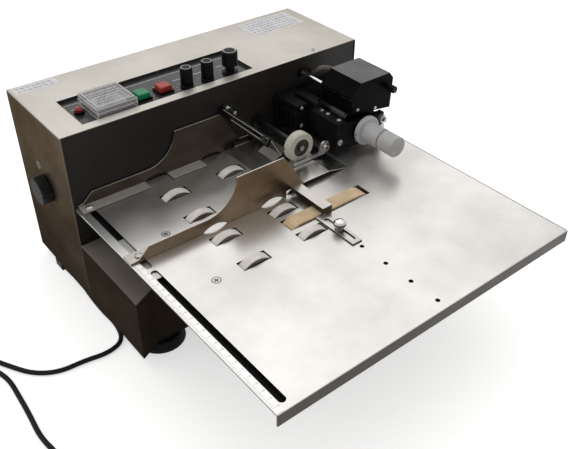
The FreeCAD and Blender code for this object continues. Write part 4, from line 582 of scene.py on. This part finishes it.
def lid_details():
    """Thick edges and ledges of the clear cover, drawn paler and more opaque as painted highlights, and
    rows of pale moulded bars under its roof.
    """
    x0, x1, y0, y1 = LID_BOX
    outside = (x0 - 0.15, x1 + 0.15, y0 - 0.15)
    bm = bmesh.new()
    frame_bars(bm, x0 + 2.0, x1 - 2.0, y0 + 2.0, y1 - 2.0, *LID_ROOF, ROOF_RIM_WIDE)
    frame_bars(bm, *outside, y1 + 0.15, *LID_HIGH_RIM, SIDE_RIM_WIDE)
    frame_bars(bm, *outside, y1 - 1.0, *LID_LOW_RIM, SIDE_RIM_WIDE)
    frame_bars(bm, *outside, y1 - 1.0, *LID_FOOT_RIM, SIDE_RIM_WIDE)
    for x in (x0 - 0.1, x1 - 0.5):
        add_block(bm, x, x + CORNER_WIDE, y0 - 0.1, y0 + 0.5, LID_FOOT_RIM[1], LID_HIGH_RIM[0])
    piece("lid_rim_highlights", bm, clear_highlight_and_moulding, "lid")
    bm = bmesh.new()
    for row in range(6):
        y = y1 - 10.0 - 6.0 * row
        for i in range(9):
            x = x0 + 6.0 + 4.3 * i
            wide = 2.0 + 1.6 * ((row * 4 + i * 3) % 5) / 4
            add_block(bm, x, x + wide, y - 1.3, y + 1.3, *LID_MOULDING)
    piece("lid_pattern", bm, clear_highlight_and_moulding, "lid")


# ---------------------------------------------------------------- table, guides and gate

RULER_PRINT = (0.6, 0.66)
RULER_TICKS, RULER_FRONT, RULER_PITCH = 116, -357.0, 2.0
RULER_SIDE, LONG_END, SHORT_END, GRADUATION_HALF = 2.0, 7.2, 5.4, 0.16
RULER_FIGURES, FIGURE_HALF = ((8.0, 8.4), (9.2, 9.6)), 1.2

WHEEL_COLUMNS = (105.0, 182.4)
WHEEL_ROWS, WHEEL_ROW, WHEEL_PITCH = 4, -45.5, 50.0
WHEEL_OPENING = (17.5, 7.7)
BELT_OPENING = (166.0, 283.0, -180.65, -159.95)
# Layers and thickness of the dark sheets that paint shade in the table's openings
OPENING_SHADE = (-1.9, -0.06, 0.3)
TABLE_EDGE = (400.2, 401.25, -363.4, -2.0, -0.2, 0.05)

GUIDE_Y = (-126.4, -125.1)
AXLE_Z = -19.7
ARCH_R = 25.4
ARCH_FOOT = 0.35
ARCH_HALF = acos((ARCH_FOOT - AXLE_Z) / ARCH_R)
ARCH_STEPS = 16
LIP_HALF, LIP_TOP, LIP_SHOULDER = 20.3, 8.7, (11.0, 6.6)

BAR_AXIS = (198.0, 55.0)
BAR_ANGLE = radians(58.0)
# Faces and spans of the pale strips that paint highlights along the bar's slot and the blade's edge
BAR_FACE, BAR_SLOT_HIGHLIGHTS = (-1.58, -1.75), ((6.9, 7.5, -95.0, -9.0), (1.9, 2.5, -93.0, -28.0))
BLADE_FACE, BLADE_HIGHLIGHT = (0.15, 0.05), ((6.6, 7.1, -99.5), (-0.3, 0.2, -121.9))
STUD = (208.0, 0.0, 60.0)
STUD_PROFILE = ((2.8, 4.65), (8.2, 4.65), (8.25, 2.8), (22.2, 2.8), (22.8, 2.0))

# Rings are (outer radius, inner radius, height)
SCREW_X, SCREWS_Y, SCREW_RIM = 57.5, (-101.7, -196.7), (5.1, 4.45, 0.06)
CROSS_TURNS, CROSS_LENGTH, CROSS_WIDE, CROSS_LAYER = (20, 110), 5.4, 0.8, (-0.1, 0.05)
HOLES, HOLES_X, HOLE_Y, HOLE_PITCH = 5, 207.5, -211.5, 35.2
# The dark walls down in the holes are painted shade
HOLE_RIM, HOLE_SHADE_WALL, HOLE_SHADE_WALL_Z, HOLE_STEPS = (2.6, 2.05, 0.05), (3.4, 1.95, 10.4), -12.0, 24


def ruler_ticks():
    """Fine graduations of the scale in front of the guide, with short bars in place of its figures."""
    bm = bmesh.new()
    for i in range(RULER_TICKS):
        y = RULER_FRONT + RULER_PITCH * i
        end = LONG_END if i % 5 == 0 else SHORT_END
        add_block(bm, RULER_SIDE, end, y - GRADUATION_HALF, y + GRADUATION_HALF, *RULER_PRINT)
        if i % 5 == 0:
            for x0, x1 in RULER_FIGURES:
                add_block(bm, x0, x1, y - FIGURE_HALF, y + FIGURE_HALF, *RULER_PRINT)
    piece("ruler_ticks", bm, tick_grey)


def lip_height(reach):
    """Height of an arch lip's outer edge at a distance from the arch's middle."""
    shoulder_reach, shoulder_z = LIP_SHOULDER
    if reach < shoulder_reach:
        return LIP_TOP - (LIP_TOP - shoulder_z) * reach / shoulder_reach
    return max(shoulder_z * (LIP_HALF - reach) / (LIP_HALF - shoulder_reach), ARCH_FOOT)


def arch_lips():
    """Plates that round off the wheel arches of the front guide."""
    bm = bmesh.new()
    for x in WHEEL_COLUMNS:
        rows = []
        for y in GUIDE_Y:
            inner, outer = [], []
            for i in range(ARCH_STEPS + 1):
                a = -ARCH_HALF + 2 * ARCH_HALF * i / ARCH_STEPS
                inner.append(bm.verts.new(at(x + ARCH_R * sin(a), y, AXLE_Z + ARCH_R * cos(a))))
                wide = LIP_HALF * sin(a) / sin(ARCH_HALF)
                outer.append(bm.verts.new(at(x + wide, y, lip_height(abs(wide)))))
            rows.append((inner, outer))
        (inner0, outer0), (inner1, outer1) = rows
        for i in range(ARCH_STEPS):
            bm.faces.new((inner0[i], inner0[i + 1], outer0[i + 1], outer0[i]))
            bm.faces.new((outer1[i], outer1[i + 1], inner1[i + 1], inner1[i]))
            bm.faces.new((inner1[i], inner1[i + 1], inner0[i + 1], inner0[i]))
            bm.faces.new((outer0[i], outer0[i + 1], outer1[i + 1], outer1[i]))
    piece("arch_lips", bm, guide_steel, "guide")


def bar_quad(low, high, y, face):
    """Four corners across the gate's tilted bar, along its width and out from its back."""
    x, z = BAR_AXIS
    c, s = cos(BAR_ANGLE), sin(BAR_ANGLE)
    return [(x + along * c + out * s, y, z + along * s - out * c)
            for along, out in ((low, face[0]), (high, face[0]), (high, face[1]), (low, face[1]))]


def gate_highlights():
    """Pale strips as painted highlights along the slot of the gate's bar and along the edge of the
    blade, and the bar's stud.
    """
    bm = bmesh.new()
    for low, high, y0, y1 in BAR_SLOT_HIGHLIGHTS:
        add_beam(bm, bar_quad(low, high, y0, BAR_FACE), bar_quad(low, high, y1, BAR_FACE))
    piece("gate_highlights", bm, highlight_pale)
    bm = bmesh.new()
    add_turned(bm, STUD, FORWARD, STUD_PROFILE)
    piece("gate_stud", bm, chrome)
    bm = bmesh.new()
    add_beam(bm, *[bar_quad(*end, BLADE_FACE) for end in BLADE_HIGHLIGHT])
    piece("blade_highlight", bm, highlight_pale, "gate")


def opening_shade_sheets():
    """Dark sheets on the walls of the table's openings for the feed wheels and the belt: painted shade
    inside the openings.
    """
    bm = bmesh.new()
    half_x, half_y = WHEEL_OPENING
    for x in WHEEL_COLUMNS:
        for i in range(WHEEL_ROWS):
            y = WHEEL_ROW - WHEEL_PITCH * i
            frame_bars(bm, x - half_x, x + half_x, y - half_y, y + half_y, *OPENING_SHADE)
    frame_bars(bm, *BELT_OPENING, *OPENING_SHADE)
    piece("opening_shade_sheets", bm, dark_print_and_shade)


def table_edge():
    """Thin dark line along the table's right edge."""
    bm = bmesh.new()
    add_block(bm, *TABLE_EDGE)
    piece("table_edge", bm, dark_print_and_shade)


# ---------------------------------------------------------------- cabinet, feet and head

FEET_X, FEET_Y = (38.0, 382.0), (-98.0, 110.0)
FOOT_PROFILE, FOOT_STEPS = ((0.05, 27.5), (1.0, 29.5), (4.0, 29.0), (8.5, 26.0), (10.9, 24.0)), 48
STICKERS = ((322.0, 404.0, 86.0, 131.0), (5.0, 58.0, 118.0, 137.0))
STICKER_TOP, PRINT_TOP = CAB_TOP + 0.10, CAB_TOP + 0.16
SIDE_MARK, SIDE_RINGS = (0.0, 83.5, 16.9), ((4.6, 3.8, 0.1), (2.2, 1.6, 0.1))
SLEEVE_R = 3.1
SLEEVE_POINTS = ((346.0, -4.0, 66.0), (346.0, -9.0, 66.5), (341.0, -18.0, 78.0), (345.0, -28.0, 82.5),
                 (349.5, -33.5, 80.5))
COVER_SCREWS = ((336.5, -97.0, 54.2), (366.5, -97.0, 47.6))
SCREW_PROFILE = ((0, 2.3), (0.9, 2.2), (1.5, 1.3))
LARGE_NUT, LARGE_NUT_PROFILE = (374.5, -100.0, 21.5), ((0, 4.6), (4.4, 4.6), (5.2, 3.8))
SMALL_NUT, SMALL_NUT_PROFILE = (375.0, -106.0, 32.0), ((0, 3.0), (3.2, 3.0), (4.0, 2.2))
NUT_STEPS = 20
PRESS_AXLE, PRESS_AXLE_PROFILE = (257.5, -88.0, 24.8), ((-0.6, 3.0), (0.3, 3.0), (0.5, 2.6))


def lead_sleeve():
    """Braided sleeve over the middle of the heater's lead."""
    made = round_line("lead_sleeve", SLEEVE_POINTS, SLEEVE_R, sleeve_grey, rim_steps=4, steps=12)
    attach(made, "machine")


def foot_skirts():
    """Broad round skirts of the four rubber feet."""
    bm = bmesh.new()
    for x in FEET_X:
        for y in FEET_Y:
            add_turned(bm, (x, y, FLOOR), UP, FOOT_PROFILE, FOOT_STEPS)
    piece("foot_skirts", bm, soft_black)


def print_rows(bm, left, back, rows, pitch, bars, gap, half, least, more, row_step, bar_step, lengths):
    """Rows of bars in place of a sticker's print, in a repeating pattern of lengths."""
    for row in range(rows):
        x, y = left, back - pitch * row
        for i in range(bars):
            wide = least + more * ((row * row_step + i * bar_step) % lengths) / (lengths - 1)
            add_block(bm, x, x + wide, y - half, y + half, STICKER_TOP, PRINT_TOP)
            x += wide + gap


def cover_labels():
    """Two pale stickers on the cabinet's top, with rows of grey bars for their print."""
    bm = bmesh.new()
    for sticker in STICKERS:
        add_block(bm, *sticker, CAB_TOP, STICKER_TOP)
    piece("stickers", bm, label_pale)
    bm = bmesh.new()
    print_rows(bm, 326.0, 125.5, rows=6, pitch=7.0, bars=11, gap=1.8, half=1.2,
               least=3.6, more=2.4, row_step=5, bar_step=3, lengths=4)
    print_rows(bm, 8.0, 131.5, rows=2, pitch=7.5, bars=7, gap=2.0, half=1.0,
               least=3.4, more=2.2, row_step=1, bar_step=2, lengths=3)
    piece("sticker_print", bm, label_grey)


def screw_marks():
    """Rims of the table's screws with dark crosses as painted shade in their recesses, rims of its
    holes with dark walls as painted shade inside them, and the rings over the side knob.
    """
    bm = bmesh.new()
    for y in SCREWS_Y:
        add_ring(bm, (SCREW_X, y, 0.0), UP, *SCREW_RIM)
        # Dark cross: painted shade in the screw's recess
        for turn in CROSS_TURNS:
            add_tilted(bm, (SCREW_X, y), radians(turn), CROSS_LENGTH, CROSS_WIDE, *CROSS_LAYER)
    for i in range(HOLES):
        y = HOLE_Y - HOLE_PITCH * i
        add_ring(bm, (HOLES_X, y, 0.0), UP, *HOLE_RIM, HOLE_STEPS)
        # Dark wall down in the hole: painted shade
        add_ring(bm, (HOLES_X, y, HOLE_SHADE_WALL_Z), UP, *HOLE_SHADE_WALL, HOLE_STEPS)
    piece("hole_rims_and_shade", bm, dark_print_and_shade)
    bm = bmesh.new()
    for ring in SIDE_RINGS:
        add_ring(bm, SIDE_MARK, LEFT, *ring)
    piece("side_mark", bm, cap_grey)


def head_fittings():
    """Screws of the ink cover, two nuts beside the hand knob, and the press roller's axle end."""
    bm = bmesh.new()
    for place in COVER_SCREWS:
        add_turned(bm, place, FORWARD, SCREW_PROFILE)
    piece("cover_screws", bm, screw_steel, "ink_head")
    bm = bmesh.new()
    add_turned(bm, LARGE_NUT, FORWARD, LARGE_NUT_PROFILE, NUT_STEPS)
    add_turned(bm, SMALL_NUT, FORWARD, SMALL_NUT_PROFILE, NUT_STEPS)
    piece("knurled_nuts", bm, screw_steel)
    bm = bmesh.new()
    add_turned(bm, PRESS_AXLE, FORWARD, PRESS_AXLE_PROFILE)
    piece("axle_end", bm, bright_steel, "press")


# ---------------------------------------------------------------- cord

CORD_D = 5.6
CORD_Z = FLOOR + CORD_D / 2 + 0.1
CORD_POINTS = (
    (7.0, 62.0), (7.0, 36.0), (4.5, 8.0), (4.0, -22.0), (6.0, -52.0), (-1.0, -80.0), (-24.0, -87.0),
    (-50.0, -81.0), (-80.0, -79.0), (-104.0, -63.0), (-120.0, -36.0), (-136.0, -6.0), (-143.0, 26.0),
    (-163.0, 46.0), (-191.0, 42.0), (-205.0, 16.0), (-196.0, -12.0), (-168.0, -21.0), (-138.0, -24.0),
    (-127.5, -52.0), (-128.5, -84.0), (-130.0, -116.0), (-133.0, -148.0), (-128.0, -179.0))
COIL_TURNS, COIL_R, COIL_PITCH, COIL_START = 3, 42.0, 6.4, (-128.0, -210.0)
COIL_STEPS = 16


def coil_point(turn):
    """Place on the coil after a number of turns: it winds in, steps up and winds out again."""
    climb = min(max(2 * (turn - COIL_TURNS), 0.0), 1.0)
    reverse = COIL_TURNS + 0.25
    r = COIL_R - COIL_PITCH * (reverse - abs(turn - reverse))
    z = CORD_Z + COIL_PITCH * (1 - cos(pi * climb)) / 2
    x = COIL_START[0] - COIL_R + r * cos(2 * pi * turn)
    return Vector((x, COIL_START[1] - r * sin(2 * pi * turn), z))


def power_cord():
    """Cord along the floor and its coil, in place of the solid cord."""
    total = 2 * COIL_TURNS + 0.5
    steps = int(total * COIL_STEPS)
    turns = [coil_point(total * i / steps) for i in range(steps + 1)]
    way = (coil_point(total + 0.004) - coil_point(total - 0.004)).normalized()
    route = [Vector((x, y, CORD_Z)) for x, y in CORD_POINTS]
    route += [turns[0] + Vector((0, CORD_D, 0))] + turns + [turns[-1] + way * CORD_D]
    cord = round_line("mains_cord", route, CORD_D / 2, soft_black, rim_steps=5, steps=6)
    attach(cord, "machine")
    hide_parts("power_cord", "cord_coil")


# ---------------------------------------------------------------- camera, light and floor

CAMERA_PLACE = Vector((-0.4430, -0.5583, 0.6323))
AZIMUTH, ELEVATION, ROLL = radians(-39.20), radians(37.00), radians(0.59)
LENS = 46.83
SKY_WAY = (0.42, 0.68, 0.60)
SKY_STOPS = (0.10, 0.85)
SKY_TONES = ((0.20, 0.195, 0.19), (0.80, 0.795, 0.785))
FLOOR_HALF = 40.0
FLOOR_LIFT = 0.55


def camera():
    """Camera at the photograph's angle, with its small roll."""
    level = cos(ELEVATION)
    ahead = Vector((-sin(AZIMUTH) * level, cos(AZIMUTH) * level, -sin(ELEVATION)))
    right = ahead.cross(Vector(UP)).normalized()
    up = right.cross(ahead)
    right, up = right * cos(ROLL) + up * sin(ROLL), up * cos(ROLL) - right * sin(ROLL)
    data = bpy.data.cameras.new("camera")
    data.sensor_width = 36.0
    data.lens = LENS
    data.clip_start = 0.02
    made = link("camera", data)
    turn = Matrix((right, up, -ahead)).transposed().to_4x4()
    made.matrix_world = Matrix.Translation(CAMERA_PLACE) @ turn
    bpy.context.scene.camera = made


def lamp(name, where, target, size, power, colour):
    """Square or oblong lamp that points at a target; both places are in the scene, in metres."""
    data = bpy.data.lights.new(name, "AREA")
    data.shape = "RECTANGLE"
    data.size, data.size_y = size
    data.energy = power
    data.color = colour
    made = link(name, data)
    made.location = where
    made.rotation_euler = (Vector(target) - Vector(where)).to_track_quat("-Z", "Y").to_euler()


def sky():
    """World that is bright towards the rear and overhead, and dim towards the camera's side."""
    world = bpy.data.worlds.new("studio")
    bpy.context.scene.world = world
    world.use_nodes = True
    nodes, links = world.node_tree.nodes, world.node_tree.links
    light = nodes["Background"]
    light.inputs["Strength"].default_value = 1.0
    place = add_node(nodes, "TexCoord")
    toward = add_node(nodes, "VectorMath")
    toward.operation = "DOT_PRODUCT"
    toward.inputs[1].default_value = SKY_WAY
    links.new(place.outputs["Generated"], toward.inputs[0])
    half = add_node(nodes, "Math")
    half.operation = "MULTIPLY_ADD"
    half.inputs[1].default_value = 0.5
    half.inputs[2].default_value = 0.5
    links.new(toward.outputs["Value"], half.inputs[0])
    fade = add_node(nodes, "ValToRGB")
    set_ramp(fade, SKY_STOPS, SKY_TONES)
    links.new(half.outputs["Value"], fade.inputs["Fac"])
    links.new(fade.outputs["Color"], light.inputs["Color"])


def white_floor():
    """Wide floor that shows white to the camera and in reflections, and keeps the machine's shadow."""
    bm = bmesh.new()
    bm.faces.new([bm.verts.new((x * FLOOR_HALF, y * FLOOR_HALF, 0.0)) for x, y in AROUND])
    floor = mesh_object("floor", bm, floor_paint)
    nodes, links = floor_paint.node_tree.nodes, floor_paint.node_tree.links
    ray = add_node(nodes, "LightPath")
    seen = ray.outputs["Is Camera Ray"]
    for kind in ("Is Glossy Ray", "Is Transmission Ray"):
        either = add_node(nodes, "Math")
        either.operation = "MAXIMUM"
        links.new(seen, either.inputs[0])
        links.new(ray.outputs[kind], either.inputs[1])
        seen = either.outputs["Value"]
    lift = add_node(nodes, "Math")
    lift.operation = "MULTIPLY"
    lift.inputs[1].default_value = FLOOR_LIFT
    links.new(seen, lift.inputs[0])
    shader = nodes["Principled BSDF"]
    shader.inputs["Emission Color"].default_value = (1.0, 1.0, 1.0, 1.0)
    links.new(lift.outputs["Value"], shader.inputs["Emission Strength"])


def studio():
    """World, two broad lamps and the floor."""
    sky()
    lamp("key", where=(0.5, 0.7, 1.7), target=(0.05, -0.05, 0.1), size=(2.2, 2.2), power=6.0,
         colour=(1.0, 0.985, 0.96))
    lamp("fill", where=(-1.5, 0.1, 0.6), target=(0.0, 0.0, 0.1), size=(1.0, 0.8), power=2.5,
         colour=(1.0, 0.98, 0.95))
    white_floor()
    bpy.context.scene.view_settings.view_transform = "Standard"


def main():
    camera()
    power_cord()
    dress()
    panel_marks()
    well_shade_sheet()
    knob_caps()
    controller_face()
    lid_details()
    lead_sleeve()
    ruler_ticks()
    arch_lips()
    foot_skirts()
    gate_highlights()
    opening_shade_sheets()
    table_edge()
    cover_labels()
    screw_marks()
    head_fittings()
    studio()


main()
